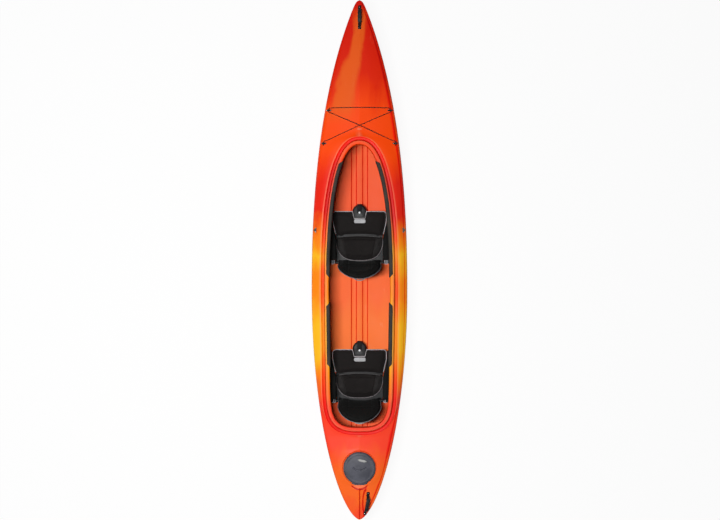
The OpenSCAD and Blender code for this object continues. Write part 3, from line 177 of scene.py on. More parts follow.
def make_mesh(name, points, quads, uv=None, closed=True, values=None):
    """A smooth mesh from points and quads, welded, turned outwards by its signed volume if it is closed.
    Values are named numbers for each point."""
    first, fours, threes, whole, single, keep = weld(points, quads)
    where = points[first]
    if closed:
        a, b, c = np.concatenate([fours[:, [0, 1, 2]], fours[:, [0, 2, 3]], threes]).T
        if np.einsum("ij,ij->i", where[a], np.cross(where[b], where[c])).sum() < 0:
            quads = quads[:, ::-1]
            first, fours, threes, whole, single, keep = weld(points, quads)
    mesh = bpy.data.meshes.new(name)
    mesh.vertices.add(len(where))
    mesh.vertices.foreach_set("co", where.astype(np.float32).ravel())
    corners = np.concatenate([fours.ravel(), threes.ravel()])
    mesh.loops.add(len(corners))
    mesh.loops.foreach_set("vertex_index", corners.astype(np.int32))
    starts = np.concatenate([np.arange(len(fours)) * 4, len(fours) * 4 + np.arange(len(threes)) * 3])
    mesh.polygons.add(len(starts))
    mesh.polygons.foreach_set("loop_start", starts.astype(np.int32))
    mesh.polygons.foreach_set("use_smooth", np.ones(len(starts), dtype=bool))
    mesh.update(calc_edges=True)
    if uv is not None:
        layer = mesh.uv_layers.new(name="UVMap")
        source = np.concatenate([quads[whole].ravel(), np.take_along_axis(quads[single], keep, 1).ravel()])
        layer.data.foreach_set("uv", uv[source].astype(np.float32).ravel())
    for key, data in (values or {}).items():
        mesh.attributes.new(key, "FLOAT", "POINT").data.foreach_set("value", data[first].astype(np.float32))
    return mesh


def piece(mesh, material, body, replaces=()):
    """Puts a mesh into the scene at the origin, riding on a body."""
    obj = bpy.data.objects.new(mesh.name, mesh)
    scene.collection.objects.link(obj)
    mesh.materials.clear()
    mesh.materials.append(material)
    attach(obj, body)
    if replaces:
        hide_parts(*replaces)
    return obj


def sweep(path, outline, up=(0, 0, 1), scale=None, loop=False):
    """An outline (across, up) carried along a path: across is the path's direction crossed with up. Open
    ends are closed."""
    path, outline = np.asarray(path, float), np.asarray(outline, float)
    ahead = np.roll(path, -1, 0) - np.roll(path, 1, 0) if loop else np.gradient(path, axis=0)
    ahead /= np.linalg.norm(ahead, axis=1, keepdims=True)
    up = np.broadcast_to(np.asarray(up, float), path.shape)
    across = np.cross(ahead, up)
    across /= np.linalg.norm(across, axis=1, keepdims=True)
    rise = np.cross(across, ahead)
    size = np.ones(len(path)) if scale is None else np.asarray(scale, float)
    ring = (path[:, None] + size[:, None, None] * (outline[None, :, :1] * across[:, None]
                                                   + outline[None, :, 1:] * rise[:, None]))
    if not loop:
        ring = np.concatenate([np.repeat(path[:1, None], len(outline), 1), ring,
                               np.repeat(path[-1:, None], len(outline), 1)])
    run = np.concatenate([[0], np.cumsum(np.linalg.norm(np.diff(ring.mean(1), axis=0), axis=1))])
    round_it = np.diff(np.vstack([outline, outline[:1]]), axis=0)
    turn = np.concatenate([[0], np.cumsum(np.linalg.norm(round_it, axis=1))])[:-1]
    uv = np.stack(np.broadcast_arrays(turn[None, :], run[:, None]), -1).reshape(-1, 2)
    return ring.reshape(-1, 3), grid_quads(len(ring), len(outline), loop, True), uv


def stacked_rings(r, z, outline, place):
    """A low round piece: ring k is the outline (across, along) times r[k], at the height z[k] above its
    place."""
    x, y = (place[k] + r[:, None] * outline[k] for k in (0, 1))
    points = points_at(x, y, place[2] + z[:, None])
    quads = grid_quads(*points.shape[:2], False, True)
    return points.reshape(-1, 3), quads, points[..., :2].reshape(-1, 2)


def join(*parts):
    """Several (points, quads, uv) sets as one."""
    points, quads, uvs = zip(*parts)
    firsts = np.cumsum([0] + [len(p) for p in points])
    return np.concatenate(points), np.concatenate([q + n for q, n in zip(quads, firsts)]), np.concatenate(uvs)


# Shader nodes

def srgb(r, g, b):
    """A screen colour from 0 to 255 as linear RGBA."""
    v = np.array([r, g, b]) / 255
    v = np.where(v <= 0.04045, v / 12.92, ((v + 0.055) / 1.055) ** 2.4)
    return (*v.tolist(), 1)


def node(tree, kind, settings=None, values=(), **sockets):
    """Adds a shader node. Values fill its inputs by number and sockets by name; a socket is linked, and a
    number is set."""
    n = tree.nodes.new(kind)
    for key, value in (settings or {}).items():
        setattr(n, key, value)
    for key, value in list(enumerate(values)) + [(k.replace("_", " "), v) for k, v in sockets.items()]:
        if value is None:
            continue
        if isinstance(value, bpy.types.NodeSocket):
            tree.links.new(value, n.inputs[key])
        else:
            n.inputs[key].default_value = value
    return n


def math_node(tree, operation, *values):
    """One step of arithmetic on values."""
    return node(tree, "ShaderNodeMath", {"operation": operation}, values).outputs[0]


def mix_value(tree, factor, a, b):
    """The straight way from value a to value b."""
    return node(tree, "ShaderNodeMix", {"data_type": "FLOAT"}, (factor, None, a, b)).outputs[0]


def mix_colour(tree, factor, a, b):
    """The straight way from colour a to colour b."""
    return node(tree, "ShaderNodeMix", {"data_type": "RGBA"}, (factor, *[None] * 5, a, b)).outputs[2]


def ramp(tree, factor, stops):
    """A colour ramp with (place, colour) stops."""
    n = node(tree, "ShaderNodeValToRGB", None, (factor,))
    marks = n.color_ramp.elements
    while len(marks) < len(stops):
        marks.new(0.5)
    for mark, (place, colour) in zip(marks, stops):
        mark.position = place
        mark.color = colour
    return n.outputs[0]


def span(tree, value, low, high, to_low=0.0, to_high=1.0):
    """A value from low to high, brought to to_low and to_high and held there, with soft ends."""
    return node(tree, "ShaderNodeMapRange", {"interpolation_type": "SMOOTHSTEP"},
                (value, low, high, to_low, to_high)).outputs[0]


def object_place(tree):
    """A point's place in the shared frame, in metres."""
    return node(tree, "ShaderNodeTexCoord").outputs["Object"]


def stretched(tree, place, **settings):
    """A place scaled, and turned, by a Mapping node."""
    return node(tree, "ShaderNodeMapping", None, Vector=place, **settings).outputs[0]


def noise(tree, place, scale, detail, **settings):
    """Noise as a value round a half."""
    n = node(tree, "ShaderNodeTexNoise", None, Vector=place, Scale=scale, Detail=detail, **settings)
    return n.outputs[0]


def attribute(tree, name):
    """A mesh's named number at a point."""
    return node(tree, "ShaderNodeAttribute", {"attribute_name": name}).outputs["Fac"]


def oval_distance(tree, x, y, place, size):
    """Distance from a place as a share of an oval's half width and half length: 1 on the oval."""
    calc = partial(math_node, tree)
    a = calc("DIVIDE", calc("SUBTRACT", x, place[0]), size[0])
    b = calc("DIVIDE", calc("SUBTRACT", y, place[1]), size[1])
    return calc("SQRT", calc("ADD", calc("MULTIPLY", a, a), calc("MULTIPLY", b, b)))


def group(name, inputs, outputs):
    """An empty shader node group with number inputs and outputs; returns it with what goes into it
    and what comes out."""
    tree = bpy.data.node_groups.new(name, "ShaderNodeTree")
    for label, value in inputs:
        tree.interface.new_socket(label, in_out="INPUT", socket_type="NodeSocketFloat").default_value = value
    for label in outputs:
        tree.interface.new_socket(label, in_out="OUTPUT", socket_type="NodeSocketFloat")
    return tree, tree.nodes.new("NodeGroupInput").outputs, tree.nodes.new("NodeGroupOutput").inputs


def use(tree, grouped, **values):
    """Places a node group in a material with its own values."""
    n = tree.nodes.new("ShaderNodeGroup")
    n.node_tree = grouped
    for key, value in values.items():
        n.inputs[key].default_value = value
    return n


def grain_group():
    """Moulded grain: fine noise and sparse pits as a height, and slow blotches as a value round a half."""
    tree, come, go = group("moulded_grain", [("Scale", 900.0), ("Blotch", 9.0), ("Pits", 0.4)],
                           ["Height", "Blotches"])
    calc = partial(math_node, tree)
    place = object_place(tree)
    fine = noise(tree, place, come["Scale"], 3.0)
    coarse = calc("MULTIPLY", come["Scale"], 0.35)
    cells = node(tree, "ShaderNodeTexVoronoi", None, Vector=place, Scale=coarse).outputs[0]
    pits = calc("MULTIPLY", span(tree, cells, 0.05, 0.35), come["Pits"])
    tree.links.new(calc("ADD", fine, pits), go["Height"])
    tree.links.new(noise(tree, place, come["Blotch"], 5.0, Roughness=0.6), go["Blotches"])
    return tree


def scuff_group():
    """Handling marks: thin scratches where stretched noise crosses its middle, kept to worn patches, as a
    mask."""
    tree, come, go = group("handling_scuffs", [("Scale", 60.0), ("Amount", 0.5)], ["Mask"])
    calc = partial(math_node, tree)
    place = object_place(tree)
    drawn = stretched(tree, place, Scale=(1.0, 0.09, 1.0), Rotation=(0.0, 0.0, 0.25))
    lines = noise(tree, drawn, come["Scale"], 4.0)
    thin = span(tree, calc("ABSOLUTE", calc("SUBTRACT", lines, 0.5)), 0.0, 0.018, 1.0, 0.0)
    worn = span(tree, noise(tree, place, 5.0, 3.0), 0.52, 0.68)
    tree.links.new(calc("MULTIPLY", calc("MULTIPLY", thin, worn), come["Amount"]), go["Mask"])
    return tree


def weave_group():
    """Woven cloth: warp and weft are two crossed waves on Object coordinates, each hidden by the other on
    alternate crossings."""
    tree, come, go = group("woven_cloth", [("Threads", 420.0), ("Slub", 0.4)], ["Height", "Shade"])
    calc = partial(math_node, tree)
    place = object_place(tree)
    x, y, z = node(tree, "ShaderNodeSeparateXYZ", None, (place,)).outputs
    turns = calc("MULTIPLY", come["Threads"], math.pi)
    across = calc("SINE", calc("MULTIPLY", x, turns))
    along = calc("SINE", calc("MULTIPLY", calc("ADD", y, z), turns))
    checks = calc("MULTIPLY", across, along)
    over = mix_value(tree, span(tree, checks, -0.15, 0.15), calc("ABSOLUTE", across), calc("ABSOLUTE", along))
    uneven = calc("MULTIPLY", noise(tree, place, 140.0, 4.0), come["Slub"])
    tree.links.new(calc("ADD", over, uneven), go["Height"])
    tree.links.new(calc("ADD", calc("MULTIPLY", over, 0.5), uneven), go["Shade"])
    return tree


GRAIN, SCUFFS, WEAVE = grain_group(), scuff_group(), weave_group()


# Finishes

def material(name, roughness=0.5, **settings):
    """A material with a Principled shader; settings go on its inputs, which are returned with its tree."""
    m = bpy.data.materials.new(name)
    m.use_nodes = True
    shader = m.node_tree.nodes["Principled BSDF"].inputs
    shader["Roughness"].default_value = roughness
    for key, value in settings.items():
        shader[key.replace("_", " ")].default_value = value
    return m, m.node_tree, shader


def bump(tree, shader, height, strength, distance):
    """A height, times a distance in metres, as the shader's normal."""
    n = node(tree, "ShaderNodeBump", None, Height=height, Strength=strength, Distance=distance)
    tree.links.new(n.outputs[0], shader["Normal"])


def times_colour(colour, factor):
    """A colour made lighter or darker."""
    return tuple(factor * c for c in colour[:3]) + (1,)


# Pale grey of a painted highlight
HIGHLIGHT_GREY = srgb(196, 196, 192)


def moulded_plastic(name, dark, light, roughness=0.45, scale=900.0, grain=0.12, scuffs=0.35, highlight_attribute=None):
    """Injection moulded plastic: two close shades in slow blotches, fine grain, and pale scuffs that are
    rougher; the last argument names an attribute that says where a painted highlight turns it pale grey."""
    m, tree, shader = material(name, roughness, Specular_IOR_Level=0.35)
    calc = partial(math_node, tree)
    grained = use(tree, GRAIN, Scale=scale).outputs
    marks = use(tree, SCUFFS, Amount=scuffs).outputs[0]
    body = mix_colour(tree, span(tree, grained[1], 0.3, 0.7), dark, light)
    pale = tuple(min(1.0, 2.2 * c + 0.03) for c in light[:3]) + (1,)
    body = mix_colour(tree, marks, body, pale)
    if highlight_attribute:
        # Painted highlight: pale grey where the attribute marks it
        body = mix_colour(tree, calc("MULTIPLY", attribute(tree, highlight_attribute), 0.65), body, HIGHLIGHT_GREY)
    tree.links.new(body, shader["Base Color"])
    uneven = span(tree, grained[1], 0.25, 0.75, roughness - 0.06, roughness + 0.08)
    tree.links.new(calc("ADD", uneven, calc("MULTIPLY", marks, 0.2)), shader["Roughness"])
    bump(tree, shader, grained[0], grain, 0.0004)
    return m


def cloth(name, dark, light, threads=420.0, roughness=0.85, strength=0.5):
    """Woven fabric: thread shading between two shades, dusty blotches, and a sheen."""
    m, tree, shader = material(name, roughness, Specular_IOR_Level=0.2, Sheen_Weight=0.02,
                               Sheen_Roughness=0.4)
    woven = use(tree, WEAVE, Threads=threads).outputs
    grained = use(tree, GRAIN, Scale=260.0, Blotch=14.0).outputs
    body = mix_colour(tree, span(tree, woven[1], 0.15, 0.8), dark, light)
    dusty = span(tree, grained[1], 0.5, 0.75, 0.0, 0.22)
    tree.links.new(mix_colour(tree, dusty, body, times_colour(light, 1.6)), shader["Base Color"])
    tree.links.new(span(tree, woven[1], 0.0, 1.0, roughness + 0.08, roughness - 0.1), shader["Roughness"])
    bump(tree, shader, woven[0], strength, 0.0006)
    return m


def metal(name, colour, roughness):
    """Brushed metal: stretched noise varies the roughness and the surface, and dull blotches darken it."""
    m, tree, shader = material(name, roughness, Metallic=1.0)
    lines = noise(tree, stretched(tree, object_place(tree), Scale=(1.0, 0.05, 1.0)), 300.0, 3.0)
    grained = use(tree, GRAIN, Scale=700.0, Blotch=40.0).outputs
    dull = span(tree, grained[1], 0.35, 0.75)
    tree.links.new(mix_colour(tree, dull, colour, times_colour(colour, 0.6)), shader["Base Color"])
    tree.links.new(span(tree, lines, 0.3, 0.7, roughness - 0.08, roughness + 0.15), shader["Roughness"])
    bump(tree, shader, lines, 0.1, 0.0002)
    return m


# The hull's powders, and their order from bow to stern as shares of the length
RED, SCARLET, FLAME, CORAL = srgb(216, 20, 8), srgb(228, 38, 6), srgb(255, 74, 8), srgb(236, 40, 24)
AMBER, YELLOW = srgb(255, 138, 22), srgb(255, 188, 34)
TANGERINE, SALMON = srgb(252, 104, 34), srgb(250, 66, 40)
POWDERS = [
    (0.0, RED), (0.15, SCARLET), (0.22, FLAME), (0.29, FLAME), (0.34, CORAL), (0.41, CORAL), (0.46, AMBER),
    (0.485, YELLOW), (0.53, AMBER), (0.57, AMBER), (0.62, YELLOW), (0.68, YELLOW), (0.72, AMBER),
    (0.77, SALMON), (0.85, SALMON), (0.91, TANGERINE), (0.96, TANGERINE), (1.0, SALMON)]
# A streak's colour; the inside's paler floor; and deep red painted as shade on the inner walls under the deck
STREAK, PALE_FLOOR, PAINTED_WALL_SHADE = srgb(238, 96, 26), srgb(252, 102, 58), srgb(140, 14, 6)
# Specks and scuffs; the pale orange of painted highlights on edges and glints; the dark red of painted shade
# in grooves and creases
SPECKS, SCUFFED, PAINTED_HIGHLIGHT, PAINTED_SHADE_RED = srgb(255, 140, 50), srgb(246, 160, 120), srgb(255, 150, 116), srgb(150, 8, 2)

# Ovals in the deck, as the middle and the half sizes: a boss ahead of the cockpit, a boss beside it on each
# hand, the hand recess beside the stern handle, and the scoop behind the hatch
FORE_BOSS = (0, 1034), (26, 13)
SIDE_BOSS = (296, 375), (9, 40)
HAND_RECESS = (58, -1925), (30, 108)
SCOOP = (0, -1790), (60, 17)


def powder_run(tree, y, wander):
    """The powders' colours at the share of the length from the bow, shifted by a slow noise."""
    calc = partial(math_node, tree)
    share = calc("MULTIPLY", calc("SUBTRACT", 2.055, y), 1 / 4.11)
    return ramp(tree, calc("ADD", share, wander), POWDERS)


def bow_streak(tree, x, y, wander):
    """A mask of the pale streak from the bow aft and to port: the distance from a drifting line, over a
    width that grows aft."""
    calc = partial(math_node, tree)
    aft = calc("MAXIMUM", calc("SUBTRACT", 1.75, y), -0.04)
    drift = calc("MULTIPLY_ADD", aft, 0.26, calc("MULTIPLY", wander, 1.8))
    off = calc("ABSOLUTE", calc("ADD", x, drift))
    wide = calc("MULTIPLY_ADD", aft, 0.13, 0.062)
    fore = calc("MULTIPLY", span(tree, y, 1.05, 1.25), span(tree, y, 1.9, 2.02, 1.0, 0.0))
    return calc("MULTIPLY", span(tree, calc("DIVIDE", off, wide), 0.45, 1.1, 1.0, 0.0), fore)


def deck_marks(tree, x, y):
    """Masks of painted shade along the deck's lines (the scoop's arc, the recess's inner edge and the ridge)
    and of painted highlights as glints (in the scoop and on the fore boss)."""
    calc = partial(math_node, tree)
    across = calc("ABSOLUTE", x)
    arc = calc("ADD", y, calc("MULTIPLY_ADD", calc("MULTIPLY", x, x), -7.0, 1.811))
    scoop = calc("MULTIPLY", span(tree, calc("ABSOLUTE", arc), 0.003, 0.009, 1.0, 0.0),
                 span(tree, across, 0.056, 0.068, 1.0, 0.0))
    in_recess = oval_distance(tree, x, y, *np.multiply(HAND_RECESS, MM))
    off_edge = calc("ABSOLUTE", calc("SUBTRACT", in_recess, 1.08))
    recess = calc("MULTIPLY", span(tree, off_edge, 0.08, 0.24, 0.7, 0.0),
                  span(tree, x, 0.049, 0.061, 1.0, 0.0))
    ridge_line = calc("MULTIPLY", span(tree, across, 0.002, 0.005, 0.8, 0.0),
                      span(tree, y, -1.815, -1.81, 1.0, 0.0))
    glint = calc("MULTIPLY", span(tree, arc, 0.008, 0.013), span(tree, across, 0.042, 0.06, 1.0, 0.0))
    glint = calc("MULTIPLY", glint, span(tree, y, -1.778, -1.772, 1.0, 0.0))
    boss = span(tree, oval_distance(tree, x, y, *np.multiply(FORE_BOSS, MM)), 0.5, 1.0, 0.8, 0.0)
    return calc("MAXIMUM", calc("MAXIMUM", scoop, recess), ridge_line), calc("MAXIMUM", glint, boss)


def hull_plastic():
    """Rotomoulded polyethylene: red, orange and yellow powders run together along the hull. Inside the wall
    the floor is paler, and higher up the inner walls are deep red as painted shade under the deck; painted
    shade in grooves and creases gives the colour times itself and then dark red, and painted highlights make
    edges and glints pale."""
    m, tree, shader = material("hull_polyethylene", 0.45, Specular_IOR_Level=0.13)
    calc = partial(math_node, tree)
    place = object_place(tree)
    x, y, z = node(tree, "ShaderNodeSeparateXYZ", None, (place,)).outputs
    drawn = stretched(tree, place, Scale=(3.2, 1.0, 2.0))
    swirl = noise(tree, drawn, 2.4, 5.0, Roughness=0.55, Distortion=0.6)
    wander = calc("MULTIPLY", calc("SUBTRACT", swirl, 0.5), 0.09)
    run = powder_run(tree, y, wander)
    outside = mix_colour(tree, calc("MULTIPLY", bow_streak(tree, x, y, wander), 0.9), run, STREAK)
    inner = attribute(tree, "inside")
    # Painted shade: higher up the inner walls, under the deck, the inside turns deep red
    lining = mix_colour(tree, span(tree, z, 0.1, 0.17), mix_colour(tree, 0.85, run, PALE_FLOOR), PAINTED_WALL_SHADE)
    plain = mix_colour(tree, inner, outside, lining)
    specks = span(tree, noise(tree, place, 380.0, 2.0), 0.6, 0.8, 0.0, 0.12)
    speckled = mix_colour(tree, specks, plain, SPECKS)
    marks = use(tree, SCUFFS, Scale=34.0, Amount=0.4).outputs[0]
    low = calc("MULTIPLY", marks, span(tree, z, 0.02, 0.3, 1.0, 0.2))
    scuffed = mix_colour(tree, low, speckled, SCUFFED)
    lines, glints = deck_marks(tree, x, y)
    topside = calc("MULTIPLY", span(tree, z, 0.24, 0.26), calc("SUBTRACT", 1.0, inner))
    # Painted shade from the mesh's numbers and from the deck's lines
    painted_shade = calc("MAXIMUM", attribute(tree, "painted_shade"), calc("MULTIPLY", lines, topside))
    # Painted highlight: the edge numbers and the deck's glints lighten the colour towards pale orange
    edge = calc("MAXIMUM", attribute(tree, "edge"), calc("MULTIPLY", glints, topside))
    worn = mix_colour(tree, calc("MULTIPLY", edge, 0.45), scuffed, PAINTED_HIGHLIGHT)
    # Painted shade: the colour times itself, then towards dark red
    twice = node(tree, "ShaderNodeVectorMath", {"operation": "MULTIPLY"}, (worn, worn)).outputs[0]
    deepened = mix_colour(tree, span(tree, painted_shade, 0.0, 0.5, 0.0, 0.9), worn, twice)
    colour = mix_colour(tree, span(tree, painted_shade, 0.3, 1.0, 0.0, 0.7), deepened, PAINTED_SHADE_RED)
    tree.links.new(colour, shader["Base Color"])
    grained = use(tree, GRAIN, Scale=520.0, Blotch=6.0, Pits=0.5).outputs
    dull = calc("MULTIPLY", calc("ADD", inner, low), 0.12)
    tree.links.new(calc("ADD", span(tree, grained[1], 0.3, 0.7, 0.4, 0.5), dull), shader["Roughness"])
    bump(tree, shader, grained[0], 0.07, 0.0005)
    return m


HULL = hull_plastic()
FOAM = moulded_plastic("closed_foam", srgb(74, 78, 86), srgb(96, 100, 108), 0.9, 500.0, 0.4, 0.1)
PAD_FOAM = moulded_plastic("pad_foam", srgb(40, 36, 33), srgb(62, 56, 50), 0.78, 620.0, 0.35, 0.25)
FITTING = moulded_plastic("fitting_plastic", srgb(20, 21, 22), srgb(34, 35, 36), 0.46)
EYE = moulded_plastic("eye_plastic", srgb(78, 70, 62), srgb(116, 104, 92), 0.45)
GRIP = moulded_plastic("grip_rubber", srgb(20, 20, 21), srgb(34, 33, 33), 0.6, 420.0, 0.3)
LID = moulded_plastic("hatch_plastic", srgb(62, 63, 72), srgb(84, 85, 95), 0.48, 700.0, 0.2, 0.4, "pale")
SEAL = moulded_plastic("seal_rubber", srgb(18, 19, 20), srgb(30, 30, 31), 0.7, 400.0, 0.2, 0.1)
SEAT_PLASTIC = moulded_plastic("seat_plastic", srgb(12, 12, 13), srgb(24, 24, 26), 0.55, 800.0, 0.15)
LOCK = moulded_plastic("lock_plastic", srgb(150, 152, 158), srgb(182, 184, 190), 0.4)
BRACKET = moulded_plastic("bracket_finish", srgb(16, 16, 18), srgb(28, 28, 30), 0.5, 700.0, 0.15)
# The strap's rivet, near white as a painted highlight for its shine
RIVET_HIGHLIGHT = moulded_plastic("rivet_plastic", srgb(214, 216, 218), srgb(236, 238, 240), 0.4)
RAIL = metal("rail_aluminium", srgb(52, 53, 58), 0.4)
STEEL = metal("stainless", srgb(196, 198, 202), 0.24)
PIN = metal("dark_steel", srgb(44, 44, 47), 0.4)
FABRIC = cloth("seat_fabric", srgb(11, 9, 9), srgb(32, 28, 27), 380.0)
MESH = cloth("mesh_fabric", srgb(8, 8, 9), srgb(46, 43, 42), 120.0, 0.8, 0.9)
BACK_FABRIC = cloth("backrest_fabric", srgb(5, 6, 6), srgb(20, 20, 19), 380.0)
PIPING = cloth("piping_cord", srgb(158, 152, 154), srgb(206, 200, 202), 600.0, 0.75, 0.4)
SEAT_PIPING = cloth("seat_piping_cord", srgb(92, 86, 88), srgb(138, 131, 133), 600.0, 0.75, 0.4)
WELT = cloth("welt_cord", srgb(52, 50, 50), srgb(92, 90, 90), 600.0, 0.75, 0.4)
TAB = cloth("grey_tab", srgb(150, 150, 152), srgb(190, 190, 192), 500.0, 0.8, 0.4)
WEBBING = cloth("webbing", srgb(12, 12, 13), srgb(36, 35, 36), 300.0, 0.7, 0.8)
CORD = cloth("cord_sleeve", srgb(20, 17, 15), srgb(52, 44, 38), 520.0, 0.7, 0.7)

# The finish of each material slot in the record; the gunwales' eyes and the hinge pins have their own
FINISHES = {
    "hull_polyethylene": HULL, "closed_foam": FOAM, "pad_foam": PAD_FOAM, "fitting_plastic": FITTING,
    "stainless": STEEL, "cord_sleeve": CORD, "webbing": WEBBING, "grip_rubber": GRIP, "hatch_plastic": LID,
    "seal_rubber": SEAL, "rail_aluminium": RAIL, "lock_plastic": LOCK, "bracket_aluminium": BRACKET,
    "seat_plastic": SEAT_PLASTIC, "seat_fabric": FABRIC}
for part in frame["record"]["subparts"]:
    name = part["node"]
    own = EYE if name.startswith("side_eye") else PIN if "_pins" in name else None
    for slot in frame["nodes"][name].material_slots:
        slot.material = own or FINISHES[part["material_slot"]]


# Camera, floor and light, in metres

CAMERA_PLACE, CAMERA_LENS, CAMERA_SENSOR = (0.004, 0.0034, 7.31), 44.32, 36
FLOOR_HALF, FLOOR_Z = 14.0, -0.001
SKY_LIGHT = 0.03

camera = bpy.data.objects.new("camera", bpy.data.cameras.new("camera"))
camera.data.lens = CAMERA_LENS
camera.data.sensor_width = CAMERA_SENSOR
camera.location = CAMERA_PLACE
camera.data.clip_end = 60
scene.collection.objects.link(camera)
scene.camera = camera


def floor_finish():
    """Pale floor that the camera sees as near white, and that still takes the object's shadow: a mix of
    glow and matt paint by the kind of ray."""
    m, tree, shader = material("floor", 0.9)
    calc = partial(math_node, tree)
    cloud = noise(tree, object_place(tree), 1.5, 3.0)
    tree.links.new(mix_colour(tree, cloud, (0.86, 0.86, 0.86, 1), (0.9, 0.9, 0.9, 1)), shader["Base Color"])
    glow = node(tree, "ShaderNodeEmission", None, (srgb(255, 255, 255), 1.0)).outputs[0]
    ray = node(tree, "ShaderNodeLightPath").outputs
    mirrored = calc("MAXIMUM", ray["Is Glossy Ray"], ray["Is Transmission Ray"])
    share = calc("MULTIPLY", calc("MAXIMUM", ray["Is Camera Ray"], mirrored), 0.93)
    paint = tree.nodes["Principled BSDF"].outputs[0]
    blend = node(tree, "ShaderNodeMixShader", None, (share, paint, glow)).outputs[0]
    tree.links.new(blend, tree.nodes["Material Output"].inputs[0])
    return m


corners = FLOOR_HALF * np.array([[-1, -1, 0], [1, -1, 0], [1, 1, 0], [-1, 1, 0]]) + [0, 0, FLOOR_Z]
floor_mesh = make_mesh("floor", corners, np.array([[0, 1, 2, 3]]), closed=False)
floor_mesh.materials.append(floor_finish())
floor = bpy.data.objects.new("floor", floor_mesh)
scene.collection.objects.link(floor)

world = bpy.data.worlds.new("studio")
world.use_nodes = True
scene.world = world
sky = world.node_tree
rays = node(sky, "ShaderNodeLightPath").outputs
seen = math_node(sky, "MAXIMUM", rays["Is Camera Ray"], rays["Is Transmission Ray"])
backdrop = sky.nodes["Background"].inputs
backdrop["Color"].default_value = (1, 1, 1, 1)
sky.links.new(mix_value(sky, seen, SKY_LIGHT, 1.0), backdrop["Strength"])


def area_light(name, place, target, size, energy, spread=180):
    """A soft rectangular lamp that points at a target; spread is the angle of its beam in degrees."""
    lamp = bpy.data.lights.new(name, "AREA")
    lamp.shape = "RECTANGLE"
    lamp.size, lamp.size_y = size
    lamp.energy = energy
    lamp.spread = math.radians(spread)
    obj = bpy.data.objects.new(name, lamp)
    obj.location = place
    x, y, z = np.subtract(place, target)
    obj.rotation_euler = (math.atan2(math.hypot(x, y), z), 0, math.atan2(x, -y) + math.pi)
    obj.visible_camera = False
    scene.collection.objects.link(obj)


# Name, place, target, size, watts and beam
area_light("key", (-1.3, -0.15, 6.6), (0, 0, 0.2), (0.25, 2.4), 450)
area_light("stern_lamp", (0.2, -5.2, 5.4), (0, -0.2, 0.2), (1.6, 0.5), 165)
area_light("port_fill", (-4.4, -0.3, 1.3), (0, 0, 0.2), (1.2, 5.0), 50, 100)
area_light("starboard_fill", (4.4, 0.3, 1.1), (0, 0, 0.2), (1.2, 5.0), 18, 100)


# Hull: the same lines as the solids, as fine grids

HALF, BEAM, WIDEST = 2055.0, 764.0, -245.0
COCKPIT_FRONT, COCKPIT_REAR, COCKPIT_MIDDLE = 910.0, -1320.0, -240.0
HATCH_Y, HATCH_Z, HATCH_RADIUS = -1642.0, 300.0, 100
LEDGE, WALL = 66.0, 5.0
BOW_LEDGE, AFT_LEDGE, HATCH_FORE, HATCH_AFT = 976.0, -1386.0, -1502.0, -1782.0
# The two strakes beside the keel line: where each starts and ends, and the slope of its sides
STRAKE_INNER, STRAKE_OUTER, STRAKE_SLOPE = 28.0, 64.0, 8
# Half the length that has an inside, and the number of the side's points that are shaped with the deck
INSIDE_HALF, SIDE_START = 1935, 4


def half_beam(y):
    """Half the beam times (1 - v^p)^q, with v the share of the way from the widest place to a tip, and a
    round nose at the bow."""
    ahead = np.clip((y - WIDEST) / (HALF - WIDEST), 0, 1)
    behind = np.clip((WIDEST - y) / (HALF + WIDEST), 0, 1)
    tip = np.maximum(HALF - y, 0)
    nose = 16 * np.exp(-tip / 110) * (1 - np.exp(-tip / 8))
    return BEAM / 2 * np.where(y > WIDEST, (1 - ahead**2.3) ** 0.8, (1 - behind**2) ** 0.62) + nose


def gunwale_z(y):
    """A parabola from the gunwale amidships up to each tip."""
    return 224 + np.where(y > 0, 86, 56) * (y / HALF) ** 2


def keel_z(y):
    """Level keel, then the tip height times 1 - sqrt(1 - s^2.4) towards each tip."""
    s = np.clip((np.abs(y) - 1180) / (HALF - 1180), 0, 1)
    return np.where(y > 0, 310, 280) * (1 - np.sqrt(1 - s**2.4))


def bottom_z(y):
    """The bottom between the strakes: 7 mm above the keel, falling to it over 500 mm ahead of each tip."""
    return keel_z(y) + 7 * np.clip((HALF - np.abs(y) - 300) / 500, 0, 1)


def bilge(y):
    """The power of the side's superellipse: square amidships, and rounder by a parabola towards the
    tips."""
    return mix(3.2, 1.9, (y / HALF) ** 2)


def rim_x(y):
    """Half the cockpit's width: a power curve to the pointed front, and a squarer one to the rear."""
    ahead = np.clip((y - COCKPIT_MIDDLE) / (COCKPIT_FRONT - COCKPIT_MIDDLE), 0, 1)
    behind = np.clip((COCKPIT_MIDDLE - y) / (COCKPIT_MIDDLE - COCKPIT_REAR), 0, 1)
    rear = (1 - behind**14) ** 0.35 * (1 - 0.06 * behind)
    return 243 * np.where(y > COCKPIT_MIDDLE, (1 - ahead**2.5) ** 0.45, rear)


def rim_z(y):
    """The rim's height: level, then a parabola up to the cockpit's front."""
    return 318 + 46 * np.clip((y - COCKPIT_MIDDLE) / (COCKPIT_FRONT - COCKPIT_MIDDLE), 0, 1) ** 2


def deck_line(y):
    """Straight lines between the tips, the hatch's recess and the coaming's ledge."""
    places = [-HALF, HATCH_AFT, HATCH_FORE, AFT_LEDGE, BOW_LEDGE, HALF]
    return np.interp(y, places, [286, 302, 302, 292, 338, 316])


def ridge(y):
    """The stern deck's ridge, 6 mm high, fading out over 60 mm at the hatch and at the tip."""
    return np.where(y > HATCH_AFT, 0, 6 * np.clip(np.minimum(HATCH_AFT - y, HALF + y) / 60, 0, 1))


